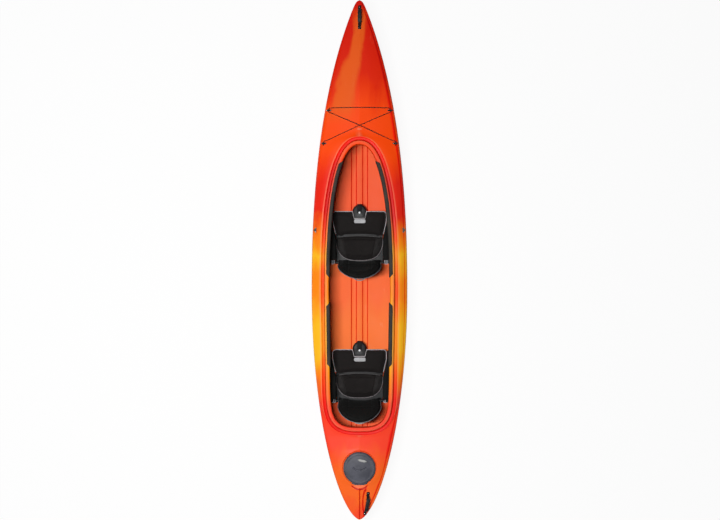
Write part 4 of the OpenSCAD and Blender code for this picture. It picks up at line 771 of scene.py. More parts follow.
# Kinds of station, and for each the profile outwards from its opening, on the outside and on the inside of
# the wall
DECK, COCKPIT, HATCH = range(3)
COAMING = np.array([[0, -45], [0, -9], [4, -2], [14, 0], [26, -1], [33, -9], [37, -29], [44, -31], [58, -29],
                    [62, -25], [66, -25.0]])
COAMING_IN = np.array([[5, -45], [5, -11], [9, -6], [14, -5], [24, -6], [28, -11], [33, -34], [44, -36],
                       [58, -34], [62, -32], [66, -31.0]])
COLLAR = np.array([[0, -22], [0, 9], [4, 14], [12, 14], [16, 9], [17, -4], [22, -6], [29, -6], [33, -4.5],
                   [37, 1], [40, 2.0]])
COLLAR_IN = np.array([[5, -22], [5, 7], [6, 9], [10, 9], [11, 7], [12, -9], [22, -11], [29, -11], [33, -10],
                      [37, -5], [40, -3.0]])
OUTSIDE = np.stack([np.zeros(COAMING.shape), COAMING, COLLAR])
INSIDE = np.stack([np.zeros(COAMING.shape), COAMING_IN, COLLAR_IN])


def deck_stations(y):
    """Stations on the plain deck: they start on the middle line, with a normal that points to the bow."""
    return np.full(len(y), DECK), points_at(0 * y, y), np.tile([0, 1.0], (len(y), 1)), deck_line(y), y


def cockpit_stations():
    """Stations round the cockpit's rim, closest where it curves most; the gunwale's places share out the
    ledge's length."""
    y = np.concatenate([COCKPIT_MIDDLE + 1150 * (1 - np.linspace(0, 1, 80) ** 2.2),
                        COCKPIT_MIDDLE - 1080 * (1 - (1 - np.linspace(0, 1, 60)[1:]) ** 2.8)])
    rim = points_at(rim_x(y), y)
    slope = np.gradient(rim, axis=0)
    normal = points_at(-slope[:, 1], slope[:, 0])
    normal[0], normal[-1] = (0, 1), (0, -1)
    normal /= np.linalg.norm(normal, axis=1, keepdims=True)
    ledge = rim + LEDGE * normal
    run = np.concatenate([[0], np.cumsum(np.linalg.norm(np.diff(ledge, axis=0), axis=1))])
    return np.full(len(y), COCKPIT), rim, normal, rim_z(y), mix(BOW_LEDGE, AFT_LEDGE, run / run[-1])


def hatch_stations():
    """Stations round half of the hatch's collar, at equal angles."""
    turn = np.linspace(0, np.pi, 45)
    normal = points_at(np.sin(turn), np.cos(turn))
    normal[-1, 0] = 0
    rim = [0, HATCH_Y] + HATCH_RADIUS * normal
    return (np.full(len(turn), HATCH), rim, normal, np.full(len(turn), HATCH_Z),
            mix(HATCH_FORE, HATCH_AFT, turn / np.pi))


def hull_stations():
    """Stations from bow to stern: kind, rim place, outward normal, height and gunwale place."""
    bow = mix(HALF, BOW_LEDGE, np.linspace(0, 1, 40)[:-1] ** 1.7)
    between = np.linspace(AFT_LEDGE, HATCH_FORE, 8)[1:-1]
    stern = mix(-HALF, HATCH_AFT, np.linspace(1, 0, 64)[1:] ** 1.35)
    runs = (deck_stations(bow), cockpit_stations(), deck_stations(between), hatch_stations(),
            deck_stations(stern))
    return tuple(np.concatenate(column) for column in zip(*runs))


def hull_sections(stations, t, side_count):
    """Half sections, t inside the outer face: coaming or collar profile, crowned deck with a moulded edge,
    superellipse side, and the keel's two strakes."""
    kind, rim, normal, height, y = stations
    profiles = (INSIDE if t else OUTSIDE)[kind]
    flat = rim[:, None] + profiles[..., :1] * normal[:, None]
    lift = np.where(kind == DECK, ridge(y) - t, 0)[:, None]
    ring = np.concatenate([flat, (height[:, None] + profiles[..., 1] + lift)[..., None]], -1)
    top = ring[:, -1]
    beam = np.maximum(half_beam(y) - t, 0)
    high = gunwale_z(y)
    # The deck, from the profile's end out to the gunwale
    width = np.maximum(beam - top[:, 0], 1e-3)
    drop = top[:, 2] - ridge(y) - high
    inset = np.minimum(22, 0.3 * width)
    rise = 0.6 * drop
    middle = (width - inset) / 2
    foot = np.minimum(9, 0.4 * middle)
    fall = 0.32 * (drop - rise)
    reach = points_at(foot, middle, width - inset, width - 0.35 * inset, width, width)
    up = points_at(drop - fall * foot / middle, drop - fall, rise, 0.8 * rise, 0.45 * rise, 0 * rise)
    deck_y = mix(top[:, 1:2], y[:, None], reach / width[:, None])
    deck = points_at(top[:, :1] + reach, deck_y, high[:, None] + up)
    deck = np.concatenate([deck[:, :1], crisp(deck[:, 1:4], 3.0), deck[:, 4:]], 1)
    # The side, from the gunwale down to the outer strake
    narrow = np.minimum(1, half_beam(y) / 260)
    shift = t * math.tan(math.radians(22.5))
    edge = np.minimum((STRAKE_OUTER + STRAKE_SLOPE - shift) * narrow, beam)
    n = bilge(y)
    low = bottom_z(y) + t
    safe = np.maximum(beam, 1e-6)
    least = np.arcsin(np.clip(1.2 * edge / safe, 0, 0.9) ** (n / 2))
    angle = mix(np.radians(84), least[:, None], np.linspace(0, 1, side_count)[None])
    e = (2 / n)[:, None]
    side = points_at(beam[:, None] * np.sin(angle) ** e, y[:, None],
                     high[:, None] - (high - low)[:, None] * np.cos(angle) ** e)
    # The strake, and the bottom in to the middle line
    edge_z = high - (high - low) * (1 - np.clip(edge / safe, 0, 1) ** n) ** (1 / n)
    base = keel_z(y) + t
    keel = np.stack([points_at(edge, y, edge_z),
                     points_at((STRAKE_OUTER - shift) * narrow, y, base),
                     points_at((STRAKE_INNER + shift) * narrow, y, base),
                     points_at((STRAKE_INNER - STRAKE_SLOPE + shift) * narrow, y, low),
                     points_at(0 * y, y, low)], 1)
    keel[..., 0] = np.minimum(keel[..., 0], beam[:, None])
    upper = np.concatenate([ring, deck, side[:, :SIDE_START]], 1)
    under = crisp(np.concatenate([side[:, -1:], keel], 1), 0.7)
    return upper, np.concatenate([side[:, SIDE_START - 1:-1], under], 1)


def raised_oval(x, y, place, size):
    """A low oval boss: full height in the middle and a smooth shoulder at its edge."""
    r = np.hypot((x - place[0]) / size[0], (y - place[1]) / size[1])
    inward = np.clip((1.15 - r) / 0.3, 0, 1)
    return inward**2 * (3 - 2 * inward)


# Tones by the column of the hull's outer grid, counted from the opening's edge to the keel: painted shade in
# the groove round the coaming, painted highlights on the edges beside it, and painted shade on the gunwale's
# moulded line with the side below it
GROOVE_SHADE = [20.5, 23, 27, 38, 41], [0, 1, 0.6, 0.5, 0]
HIGHLIGHT_TONE = [14, 17, 19, 21, 40.5, 42, 44, 46], [0, 0.7, 0.7, 0, 0, 0.9, 0.9, 0]
BRIM_SHADE = [53, 54.5, 56.5, 58, 63, 66, 74, 92], [0, 1, 1, 0, 0, 0.45, 0.45, 0]
# The share of the brim's painted shade on the starboard side, away from the key lamp, and on the port
# side; and the painted shade on the strakes inside
BRIM_FAR, BRIM_NEAR, STRAKE_SHADE = 0.7, 0.08, 0.6


def hull_mesh():
    """Outer and inner grids of half sections, both halves, with the rims and the inner wall's bow end
    closed. Each point has numbers for inside, painted shade and painted highlight on edges."""
    stations = hull_stations()
    kind, y = stations[0], stations[4]
    upper, lower = hull_sections(stations, 0, 16)
    upper = corner_cut(corner_cut(upper))
    outer = np.concatenate([upper[:, :-1], corner_cut(lower)], 1)
    keep = np.abs(y) < INSIDE_HALF
    upper_in, lower_in = hull_sections(tuple(s[keep] for s in stations), WALL, 12)
    inner = capped(np.concatenate([corner_cut(upper_in)[:, :-1], lower_in], 1))
    inner[0, :, 0] = 0
    first = outer.shape[0] * outer.shape[1]
    rims = []
    for wanted in (COCKPIT, HATCH):
        at = np.flatnonzero(kind == wanted)
        a = at * outer.shape[1]
        b = (np.searchsorted(np.flatnonzero(keep), at) + 1) * inner.shape[1] + first
        rims.append(np.stack([a[:-1], b[:-1], b[1:], a[1:]], -1))
    shell, lining = grid_quads(*outer.shape[:2]), grid_quads(*inner.shape[:2], first=first)[:, ::-1]
    quads = np.concatenate([shell, lining] + rims)

    def both(on_outer, on_inner):
        """One number for each point of both grids and of their mirror images."""
        grids = (on_outer, outer), (on_inner, inner)
        return np.tile(np.concatenate([np.broadcast_to(v, g.shape[:2]).ravel() for v, g in grids]), 2)

    column, column_in = np.arange(outer.shape[1]), np.arange(inner.shape[1])
    deck_columns = upper.shape[1] - 4 * SIDE_START
    at_rim = (kind == COCKPIT)[:, None]
    strakes = np.isin(column_in - inner.shape[1], [-8, -7, -4, -3])
    on_deck = both(column < deck_columns, column_in < deck_columns // 2)
    # Painted shade in the coaming's groove, on the strakes inside and along the gunwale's brim
    painted_shade = both(at_rim * np.interp(column, *GROOVE_SHADE), STRAKE_SHADE * strakes)
    brim = both(np.interp(column, *BRIM_SHADE), 0.0)
    # Painted highlight on the coaming's lip and on the bead outside its groove
    edge = both(at_rim * np.interp(column, *HIGHLIGHT_TONE), 0.0)
    points = np.concatenate([outer.reshape(-1, 3), inner.reshape(-1, 3)])
    quads = quads[np.abs(points[quads][..., 0]).max(1) > 1e-4]
    quads = np.concatenate([quads, quads[:, ::-1] + len(points)])
    points = np.concatenate([points, points * [-1, 1, 1]])
    x, y = points[:, 0], points[:, 1]
    bosses = (3 * raised_oval(x, y, *FORE_BOSS) + 3 * raised_oval(np.abs(x), y, *SIDE_BOSS)
              - 4 * raised_oval(x, y, *HAND_RECESS) - 4 * raised_oval(x, y, *SCOOP))
    points[:, 2] += np.where(on_deck, bosses, 0)
    # The brim's painted shade, stronger on the starboard side, away from the key lamp
    painted_shade = np.maximum(painted_shade, brim * np.where(x > 0, BRIM_FAR, BRIM_NEAR))
    values = {"inside": both(0.0, 1.0), "painted_shade": painted_shade, "edge": edge}
    return make_mesh("hull", points * MM, quads, values=values)


piece(hull_mesh(), HULL, "kayak", ("hull_shell",))


# Deck cord

# Its route in metres, as in the part's source: a diagonal, the turn round a front eye, and half of the
# cross run
DIAGONAL = np.array([
    [-0.28455, 0.92497, 0.31371], [-0.28455, 0.93497, 0.31371], [-0.25814, 0.94683, 0.31380],
    [-0.23173, 0.95870, 0.31451], [-0.17891, 0.98243, 0.32374], [-0.12609, 1.00616, 0.33107],
    [-0.07326, 1.02989, 0.33504], [-0.02044, 1.05362, 0.33902], [0.03238, 1.07735, 0.33753],
    [0.08520, 1.10108, 0.33264], [0.13802, 1.12481, 0.32729], [0.19085, 1.14854, 0.31735],
    [0.21726, 1.16041, 0.31538], [0.24367, 1.17227, 0.31547]])
TURN = np.array([
    [0.24367, 1.18527, 0.31547], [0.24267, 1.19427, 0.31547], [0.23767, 1.20027, 0.31447],
    [0.22967, 1.20327, 0.31347], [0.21767, 1.20427, 0.31247]])
CROSS = np.array([
    [0.18139, 1.20427, 0.31769], [0.14511, 1.20427, 0.32400], [0.10883, 1.20427, 0.32876],
    [0.03628, 1.20427, 0.33469]])
CORD_RADIUS = 0.003


def cord_route():
    """The route and its mirror image, with the second diagonal lifted in a low hump over the first."""
    half = np.concatenate([DIAGONAL, TURN, CROSS])
    back = (half * [-1, 1, 1])[::-1]
    hump = np.clip(1 - (back[:, 0] / 0.105) ** 2, 0, 1) ** 2 * (back[:, 1] < 1.16)
    back[:, 2] += 0.0073 * hump
    return curve_through(np.concatenate([half, back]), 420)


def stopper_knot(eye):
    """Two turns of cord wound behind an eye: a helix round the cord's own line, with a short tail."""
    t = np.linspace(0, 1, 60)
    a = 2 * np.pi * 2.1 * t
    reach = 0.0034 * np.sin(np.pi * np.clip(t * 1.15, 0, 1)) ** 0.5
    path = points_at(eye[0] + reach * np.cos(a), eye[1] - 0.0075 - 0.0095 * t, eye[2] + reach * np.sin(a))
    return sweep(path, circle(CORD_RADIUS, 10), up=(1, 0, 0.3))


route = cord_route()
sleeve = make_mesh("bungee", *sweep(route, circle(CORD_RADIUS, 12)))
bungee = piece(sleeve, CORD, "kayak", ("deck_bungee",))
ends = np.array([DIAGONAL[0], DIAGONAL[0] * [-1, 1, 1]])
coils = make_mesh("bungee_knots", *join(*(stopper_knot(e) for e in ends)))
knots = piece(coils, CORD, "kayak")


# Carry handles

HANDLE_SPAN, HANDLE_RISE, HANDLE_FOOT = 186.0, 42.0, 24.0
GRIP_HALF, GRIP_SIZE = 52, (14.3, 8.1)


def handle_arc(reach, count):
    """The strap's line: flat feet, and between them a rise of (1 - w^4)^1.3."""
    y = np.linspace(-reach, reach, count)
    w = np.clip(np.abs(y) / (HANDLE_SPAN / 2 - HANDLE_FOOT), 0, 1)
    return points_at(0 * y, y, 1.2 + HANDLE_RISE * (1 - w**4) ** 1.3)


def carry_handle(name, axes, origin):
    """Webbing along the arc, and a moulded grip over its middle: a squared ellipse that swells and narrows
    in finger rolls."""
    strap = sweep(handle_arc(HANDLE_SPAN / 2, 120), band(25, 2.4))
    s = np.linspace(-1, 1, 90)
    rolls = (1 + 0.045 * np.cos(s * np.pi * 5)) * (1 - 0.55 * np.abs(s) ** 14) ** 0.5
    outline = np.multiply(points_at(*squared_circle(full_turn(28), 0.6)), GRIP_SIZE)
    grip = sweep(handle_arc(GRIP_HALF, len(s)), outline, scale=rolls)
    for title, shape, finish, slot, node_name in (("_webbing", strap, WEBBING, "webbing", "_strap"),
                                                  ("_hold", grip, GRIP, "grip_rubber", "_grip")):
        points, quads, uv = shape
        mesh = make_mesh(name + title, placed(points, axes, origin) * MM, quads, uv * MM)
        piece(mesh, finish, "kayak", (name + node_name,))


carry_handle("bow_handle", tilt(math.atan(-0.0203892)), (0, 1918, 319.093))
carry_handle("stern_handle", [[0.979036, -0.146527, -0.141484], [0.156157, 0.985939, 0.059489],
                              [0.130778, -0.0803358, 0.988151]], (56, -1925, 289.652))


# Hatch lid

LID_PROFILE = np.array([[0, 15], [60, 15], [119, 15], [122, 11], [122, -3], [124, -3], [128, -3], [128, 2],
                        [128, 8], [125, 13], [120, 17], [113, 19.3], [108, 19.2], [104, 18.6], [100, 18.8]])
LIP_SECTION = np.array([[-11, -3], [-10, -4], [10, -4], [11, -3], [11, 3], [9, 4], [-9, 4], [-11, 3.0]])
CROWN_RADIUS, CROWN_Z, CROWN_FALL = 97, 25, 6.0
SMILE_Y, SMILE_RADIUS, SMILE_HALF_ANGLE = 50, 66, 0.95
THUMB_PLACE, THUMB_SIZE, THUMB_TURN = (22, 62), (36, 10), 0.2
RIBS, RIB_RADIUS = 72, 127
LIP_HALF = 56.0
# The rounded profile's points from this one on lie on the top
TOP_START = 28


def hatch_lid():
    """A turned profile with a moulded smile groove, a raised thumb rest and a ring of low ribs, and a pull
    tab behind."""
    crown = np.linspace(CROWN_RADIUS, 0, 46)
    inner = points_at(crown, CROWN_Z - CROWN_FALL * (crown / CROWN_RADIUS) ** 2)
    line = np.concatenate([corner_cut(LID_PROFILE[None, :, [0, 1, 1]])[0][:, :2], inner])
    a = np.linspace(0, 2 * np.pi, 145)[:-1, None]
    r, z = line.T
    x, y = r * np.cos(a), r * np.sin(a)
    top = np.broadcast_to(np.arange(len(line)) >= TOP_START, x.shape)
    arc = np.abs(np.hypot(x, y - SMILE_Y) - SMILE_RADIUS)
    within = np.clip((SMILE_HALF_ANGLE - np.abs(np.arctan2(x, SMILE_Y - y))) / 0.12, 0, 1)
    smile = -5.5 * within * np.clip(1 - (arc / 7) ** 2, 0, 1) ** 0.8
    over, up = x - THUMB_PLACE[0], y - THUMB_PLACE[1]
    thumb = raised_oval(over - THUMB_TURN * up, up + THUMB_TURN * over, (0, 0), THUMB_SIZE)
    ribs = 0.5 * (0.5 + 0.5 * np.cos(RIBS * a)) * np.exp(-((r - RIB_RADIUS) / 3.0) ** 2)
    height = z + np.where(top, smile + 4.5 * thumb, 0) + ribs
    body = (points_at(x, y, height).reshape(-1, 3), grid_quads(len(a), len(line), True, False),
            points_at(x, y).reshape(-1, 2))
    s = np.linspace(-1, 1, 40)
    lip = sweep(points_at(LIP_HALF * s, -109 - 11 * (1 - np.abs(s) ** 4), 9), LIP_SECTION)
    points, quads, uv = join(body, lip)
    # Painted highlight: the thumb rest's top is marked to turn pale grey in the lid's finish
    pale = np.concatenate([np.where(top, thumb, 0).ravel(), np.zeros(len(points) - x.size)])
    points = (points + [0, HATCH_Y, HATCH_Z]) * MM
    mesh = make_mesh("hatch_cover", points, quads, uv * MM, values={"pale": pale})
    return piece(mesh, LID, "hatch_cover", ("hatch_lid",))


hatch_lid()


# Thigh pads

PAD_COVER = np.array([[21, 5], [16, 9], [3, 10], [-5, 7], [-8, -3], [-9, -34], [-7, -62.0]])
PAD_LINING = np.array([[21, 0.5], [16, 0.7], [10, 0.7], [1, 0.8], [-1.2, -5], [-0.8, -34], [-2.5, -64.0]])


def rim_place(y, reach, rise):
    """A point beside the coaming's inner edge: outwards along the edge's normal, and up from it."""
    step = 0.5
    dx, dy = rim_x(y - step) - rim_x(y + step), -2 * step
    n = np.hypot(dx, dy)
    return points_at(rim_x(y) - dy / n * reach, y + dx / n * reach, rim_z(y) + rise)


def thigh_pad(name, side, front, rear, node_name):
    """The pad's section carried along the coaming, with ends cut on a slope and drawn in towards its
    middle; the rear end is open."""
    ring = rounded_section(np.concatenate([PAD_COVER, PAD_LINING[::-1]]), 1)
    s = np.linspace(0, 1, 110)[:, None]
    reach, rise = ring[None, :, 0], ring[None, :, 1]
    y = mix(front - 0.9 * (reach + 9), rear + 0.9 * (reach + 9), s)
    end = np.minimum(s, 1 - s) * (front - rear)
    soft = np.clip(1 - end / 7, 0, 1) ** 2
    centre = ring.mean(0)
    reach, rise = mix(reach, centre[0], 0.16 * soft), mix(rise, centre[1], 0.06 * soft)
    points = capped(rim_place(y, reach, rise)) * [side, 1, 1]
    mesh = make_mesh(name, points.reshape(-1, 3) * MM, grid_quads(*points.shape[:2], False, True))
    pad = piece(mesh, PAD_FOAM, "kayak", (node_name,))


for label, front, rear in (("front", 784, -138), ("rear", -331, -848)):
    for hand, side in HANDS:
        title = "thigh_pad_%s_%s" % (label, hand)
        thigh_pad(title + "_cover", side, front, rear, title)


# Seats: each soft piece is shaped in its own frame on the front seat, and the rear seat has a copy

REAR_SEAT = -1120.0
SEATS = (("front", 0.0), ("rear", REAR_SEAT))
TILT_LEG, TILT_BACK = math.radians(6), math.radians(18)
LEG_HINGE, BACK_HINGE = (0, 208, 88), (0, -16, 132)
FRAMES = {"cushion": (np.eye(3), (0, 0, 0)), "leg": (tilt(TILT_LEG), LEG_HINGE),
          "back": (tilt(TILT_BACK), BACK_HINGE)}

# Cushion: half width, depth and power of its rounded rear, half width of its pad, base, and the arch of its
# front
SEAT_HALF, SEAT_REAR, ROUND = 191.0, 200, 2.85
CUSHION_HALF, CUSHION_BASE, ARCH = 188, 66.3, 15
# Leg rest: half widths at the hinge and at the front, length, corner radius, base, and the notch for the
# strap
LEG_NARROW, LEG_WIDE, LEG_LONG, LEG_CORNER, LEG_BASE = 190, 218, 192, 26, 2.8
NOTCH_HALF, NOTCH_SLOPE, NOTCH_DEPTH = 57, 12, 56
# Backrest: half width, height where its round top starts and that top's rise, the bow of its shell, and its
# pad's ends
BACK_HALF, BACK_TURN, BACK_RISE = 172, 110, 202
BOW_MIDDLE, BOW_RADIUS = 386, 414.7
BACK_LOW, BACK_HIGH = -33, 301
# Width of a form's edge zone where swelling fades, and the size of a remeshed cell in metres
SEAM_ZONE, CELL = 40, 0.005
SWELL_FRAMES = 20


def seat_bodies(label):
    """The body that each of a seat's frames rides on."""
    return {"cushion": "kayak", "leg": label + "_leg_rest", "back": label + "_backrest"}


def edge_roll(v):
    """A pad's rounded edge: the square root of 1 - |v|^6."""
    return np.sqrt(np.clip(1 - np.abs(v) ** 6, 0, 1))


def pad_shell(top, low):
    """A closed pad between two grids of the same size: both grids, and a strip round their edges."""
    n, m = top.shape[:2]
    index = np.arange(n * m).reshape(n, m)
    loop = np.concatenate([index[0, :-1], index[:-1, -1], index[-1, :0:-1], index[:0:-1, 0]])
    nxt = np.roll(loop, -1)
    quads = np.concatenate([grid_quads(n, m), grid_quads(n, m, first=n * m)[:, ::-1],
                            np.stack([loop, nxt, nxt + n * m, loop + n * m], -1)])
    return np.concatenate([top.reshape(-1, 3), low.reshape(-1, 3)]), quads


def swell(name, points, quads, cap, seam):
    """Blows a closed pad up with cloth pressure. No point moves further than the cap, and less near the
    seam, which gives a point's distance from the bound edge; returns points and quads."""
    form = bpy.data.objects.new(name + "_form", make_mesh(name + "_form", points * MM, quads))
    scene.collection.objects.link(form)
    bpy.context.view_layer.objects.active = form
    remesh = form.modifiers.new("remesh", "REMESH")
    remesh.mode, remesh.voxel_size = "VOXEL", CELL
    bpy.ops.object.modifier_apply(modifier="remesh")
    before = np.empty(len(form.data.vertices) * 3, np.float32)
    form.data.vertices.foreach_get("co", before)
    after = before.copy()
    cloth_mod = form.modifiers.new("cloth", "CLOTH")
    settings = cloth_mod.settings
    settings.use_pressure, settings.uniform_pressure_force = True, 4.0
    settings.effector_weights.gravity = 0
    settings.quality = 5
    cloth_mod.point_cache.frame_start, cloth_mod.point_cache.frame_end = 1, SWELL_FRAMES
    for k in range(1, SWELL_FRAMES + 1):
        scene.frame_set(k)
    shaped = form.evaluated_get(bpy.context.evaluated_depsgraph_get()).data
    shaped.vertices.foreach_get("co", after)
    scene.frame_set(1)
    before, after = before.reshape(-1, 3).astype(float), after.reshape(-1, 3).astype(float)
    move = after - before
    far = np.linalg.norm(move, axis=1, keepdims=True)
    reach = cap * MM * np.clip(seam(before / MM) / SEAM_ZONE, 0.1, 1)[:, None]
    moved = before + move * np.minimum(1, reach / np.maximum(far, 1e-9))
    # The remeshed form has quads only
    corners = np.empty(len(form.data.loops), np.int32)
    form.data.loops.foreach_get("vertex_index", corners)
    bpy.data.objects.remove(form)
    return moved / MM, corners.reshape(-1, 4)


def soft_piece(name, points, quads, fabrics, panel, body, node_name):
    """A swollen pad as a smooth piece with one subdivision; panel says which of the two fabrics each face
    has."""
    mesh = bpy.data.meshes.new(name)
    mesh.from_pydata((points * MM).tolist(), [], quads.tolist())
    mesh.polygons.foreach_set("use_smooth", np.ones(len(mesh.polygons), dtype=bool))
    obj = piece(mesh, fabrics[0], body, (node_name,))
    mesh.materials.append(fabrics[1])
    mesh.polygons.foreach_set("material_index", panel.astype(np.int32))
    rounder = obj.modifiers.new("rounder", "SUBSURF")
    rounder.levels = rounder.render_levels = 1


def u_edge(x):
    """The cushion's rear edge: a superellipse."""
    return SEAT_REAR * (1 - np.clip(1 - (np.abs(x) / SEAT_HALF) ** ROUND, 0, 1) ** (1 / ROUND))


def cushion_front(x):
    """The cushion's front edge: a parabola that arches forward."""
    return 202 - ARCH * (x / SEAT_HALF) ** 2


def cushion_seam(points):
    """Distance from the cushion's edge: the least of the ways to its rear, its front and its sides."""
    x, y = points[:, 0], points[:, 1]
    return np.minimum(np.minimum(y - u_edge(x), cushion_front(x) - y), 190 - np.abs(x))


def cushion_form():
    """Crowned pad from the rounded rear edge to the arched front seam, higher at the sides."""
    u, v = np.meshgrid(np.linspace(-1, 1, 81), np.linspace(0, 1, 49), indexing="ij")
    x = CUSHION_HALF * np.sign(u) * (1 - (1 - np.abs(u)) ** 1.4)
    y = mix(u_edge(x) + 2, np.maximum(cushion_front(x), u_edge(x) + 6), v)
    roll = edge_roll(2 * v - 1) * edge_roll(u)
    top = points_at(x, y, CUSHION_BASE + 8 + roll * (26 + 20 * (x / SEAT_HALF) ** 2))
    return pad_shell(top, points_at(x, y, CUSHION_BASE))


def leg_half(y):
    """Half the leg rest's width: a power curve from its narrow rear to its wide front."""
    return mix(LEG_NARROW, LEG_WIDE, np.clip(y / 115.2, 0, 1) ** 0.8)


def leg_front(x):
    """The leg rest's front edge: rounded corners, and a notch for the strap."""
    over = np.clip((np.abs(x) - (LEG_WIDE - LEG_CORNER)) / LEG_CORNER, 0, 1)
    notch = NOTCH_DEPTH * np.clip((NOTCH_HALF - np.abs(x)) / NOTCH_SLOPE, 0, 1)
    return LEG_LONG - LEG_CORNER * (1 - np.sqrt(1 - over**2)) - notch


def leg_rear(x):
    """The leg rest's rear edge: the cushion's arch."""
    return 5 - ARCH * (x / SEAT_HALF) ** 2


def leg_seam(points):
    """Distance from the leg rest's edge: the least of the ways to its front, its rear and its sides."""
    x, y = points[:, 0], points[:, 1]
    return np.minimum(np.minimum(leg_front(x) - y, y - leg_rear(x)), leg_half(y) - np.abs(x))


def leg_pad_form():
    """Pad that widens towards its front, where it has the notch; its rear follows the cushion's arch, clear
    of the hinge."""
    u, v = np.meshgrid(np.linspace(-1, 1, 97), np.linspace(0, 1, 49), indexing="ij")
    x = u * (leg_half(mix(6, LEG_LONG, v)) - 3)
    y = mix(leg_rear(x) + 2, leg_front(x) - 2, v)
    roll = edge_roll(2 * v - 1) * edge_roll(u)
    base = LEG_BASE + np.clip(9 - 0.5 * y, 0, 13) * (y < 16)
    top = points_at(x, y, np.maximum(LEG_BASE + 7, base + 3) + roll * 23)
    return pad_shell(top, points_at(x, y, base))


def back_outline(z):
    """Half the backrest's width: nearly straight sides, and a half ellipse above them."""
    sides = 1 - 0.0002 * (BACK_TURN - z)
    top = np.sqrt(np.clip(1 - ((z - BACK_TURN) / BACK_RISE) ** 2, 0, 1))
    return BACK_HALF * np.where(z < BACK_TURN, sides, top)


def back_face(x):
    """The backrest shell's front: a cylinder's bow."""
    return BOW_MIDDLE - np.sqrt(BOW_RADIUS**2 - x**2)


def back_pad_half(z):
    """Half the pad's width: the outline a little higher up, less a margin."""
    return np.maximum(6, back_outline(z + 5.4) - 11)


def back_seam(points):
    """Distance from the back pad's edge: the lesser of the ways to its sides and to its bottom."""
    x, z = points[:, 0], points[:, 2]
    return np.minimum(back_pad_half(z) - np.abs(x), z - BACK_LOW)


def back_pad_form():
    """Half-moon pad on the bowed shell, thickest at the small of the back."""
    u, v = np.meshgrid(np.linspace(-1, 1, 73), np.linspace(0, 1, 73), indexing="ij")
    z = mix(BACK_LOW, BACK_HIGH, 1 - (1 - v) ** 1.6)
    x = u * back_pad_half(z)
    roll = edge_roll(2 * v - 1) * edge_roll(u)
    lumbar = 1 + 0.25 * np.clip(1 - ((z - 70) / 90) ** 2, 0, 1)
    top = points_at(x, back_face(x) + 6 + roll * (30 * lumbar - 6), z)
    return pad_shell(top, points_at(x, back_face(x) + 0.3, z))


def groove(distance, depth, width):
    """A sewn channel's depth at a distance from its line: a bell curve."""
    return depth * np.exp(-(distance / width) ** 2)


def panel_edge(points):
    """Distance outside the cushion's middle panel, which widens to the front."""
    return np.abs(points[:, 0]) - mix(98, 136, np.clip(points[:, 1] / 198, 0, 1))


def sewn_cushion(points):
    """Two channels that part the middle panel from the sides, and one inside the front edge; the base stays
    flat."""
    x, y, z = points.T
    depth = groove(panel_edge(points), 7, 5) + groove(cushion_front(x) - y - 26, 4, 5) * (np.abs(x) < 150)
    top = np.clip((z - 78) / 8, 0, 1)
    return points_at(x, y, np.maximum(z - depth * top, CUSHION_BASE))


TAB_Y, TAB_Z, TAB_HALF = 114.0, 33.0, (46.0, 16.5)
# Points of the leg rest's pad below this height belong to its base
LEG_TOP = 12


def sewn_leg_pad(points):
    """A bound edge inside the outline, and a level place for the tab; the base stays flat on its board."""
    x, y, z = points.T
    edge = np.minimum(leg_front(x) - y, leg_half(y) - np.abs(x))
    depth = groove(edge - 17, 4, 4)
    top = np.clip((z - LEG_TOP) / 8, 0, 1)
    off_tab = np.maximum(np.abs(x) / TAB_HALF[0], np.abs(y - TAB_Y) / TAB_HALF[1])
    tab = np.clip((1.25 - off_tab) / 0.2, 0, 1) * top
    sewn = np.where(z < LEG_TOP, z, np.maximum(z - depth * top, LEG_TOP))
    return points_at(x, y, mix(sewn, TAB_Z, tab))


def sewn_back_pad(points):
    """Two upright channels and one across the small of the back; the rear lies against the shell."""
    x, y, z = points.T
    depth = groove(np.abs(x) - 92, 6, 6) + groove(z - 118 - 0.0012 * x**2, 5, 6)
    front = np.clip((y - back_face(x) - 14) / 8, 0, 1)
    return points_at(x, np.maximum(y - depth * front, back_face(x) + 0.3), z)


# Each pad's points, quads and fabric by face; the cushion's sides have the second fabric
SOFT = {}
for kind, form, seam, sew, cap in (("cushion", cushion_form, cushion_seam, sewn_cushion, 10),
                                   ("leg", leg_pad_form, leg_seam, sewn_leg_pad, 8),
                                   ("back", back_pad_form, back_seam, sewn_back_pad, 10)):
    points, quads = swell(kind, *form(), cap, seam)
    panel = panel_edge(points[quads].mean(1)) > 0 if kind == "cushion" else np.zeros(len(quads))
    SOFT[kind] = sew(points), quads, panel

for label, shift in SEATS:
    for kind, title, node_name, fabrics, fill in (
            ("cushion", "cushion_cover", "seat_cushion", (FABRIC, MESH), 0.7),
            ("leg", "leg_rest_cover", "leg_rest_pad", (FABRIC, MESH), 0.7),
            ("back", "backrest_cover", "backrest_pad", (BACK_FABRIC, MESH), 0.75)):
        axes, origin = FRAMES[kind]
        points, quads, panel = SOFT[kind]
        points = placed(points, axes, np.add(origin, (0, shift, 0)))
        soft_piece("%s_%s" % (label, title), points, quads, fabrics, panel, seat_bodies(label)[kind],
                   "%s_%s" % (label, node_name))


# Trim on the seats

def cushion_piping():
    """Half of a superellipse round the cushion's sides and rear."""
    c, s = squared_circle(np.linspace(0.06, np.pi - 0.06, 150), 2 / ROUND)
    return points_at(SEAT_HALF * c, SEAT_REAR - (SEAT_REAR + 0.5) * s, 84 + 14 * c**2)


def cushion_welt():
    """The arch of the cushion's front seam."""
    x = np.linspace(-166, 166, 80)
    return points_at(x, cushion_front(x) - 2, 96 + 16 * (x / SEAT_HALF) ** 2)


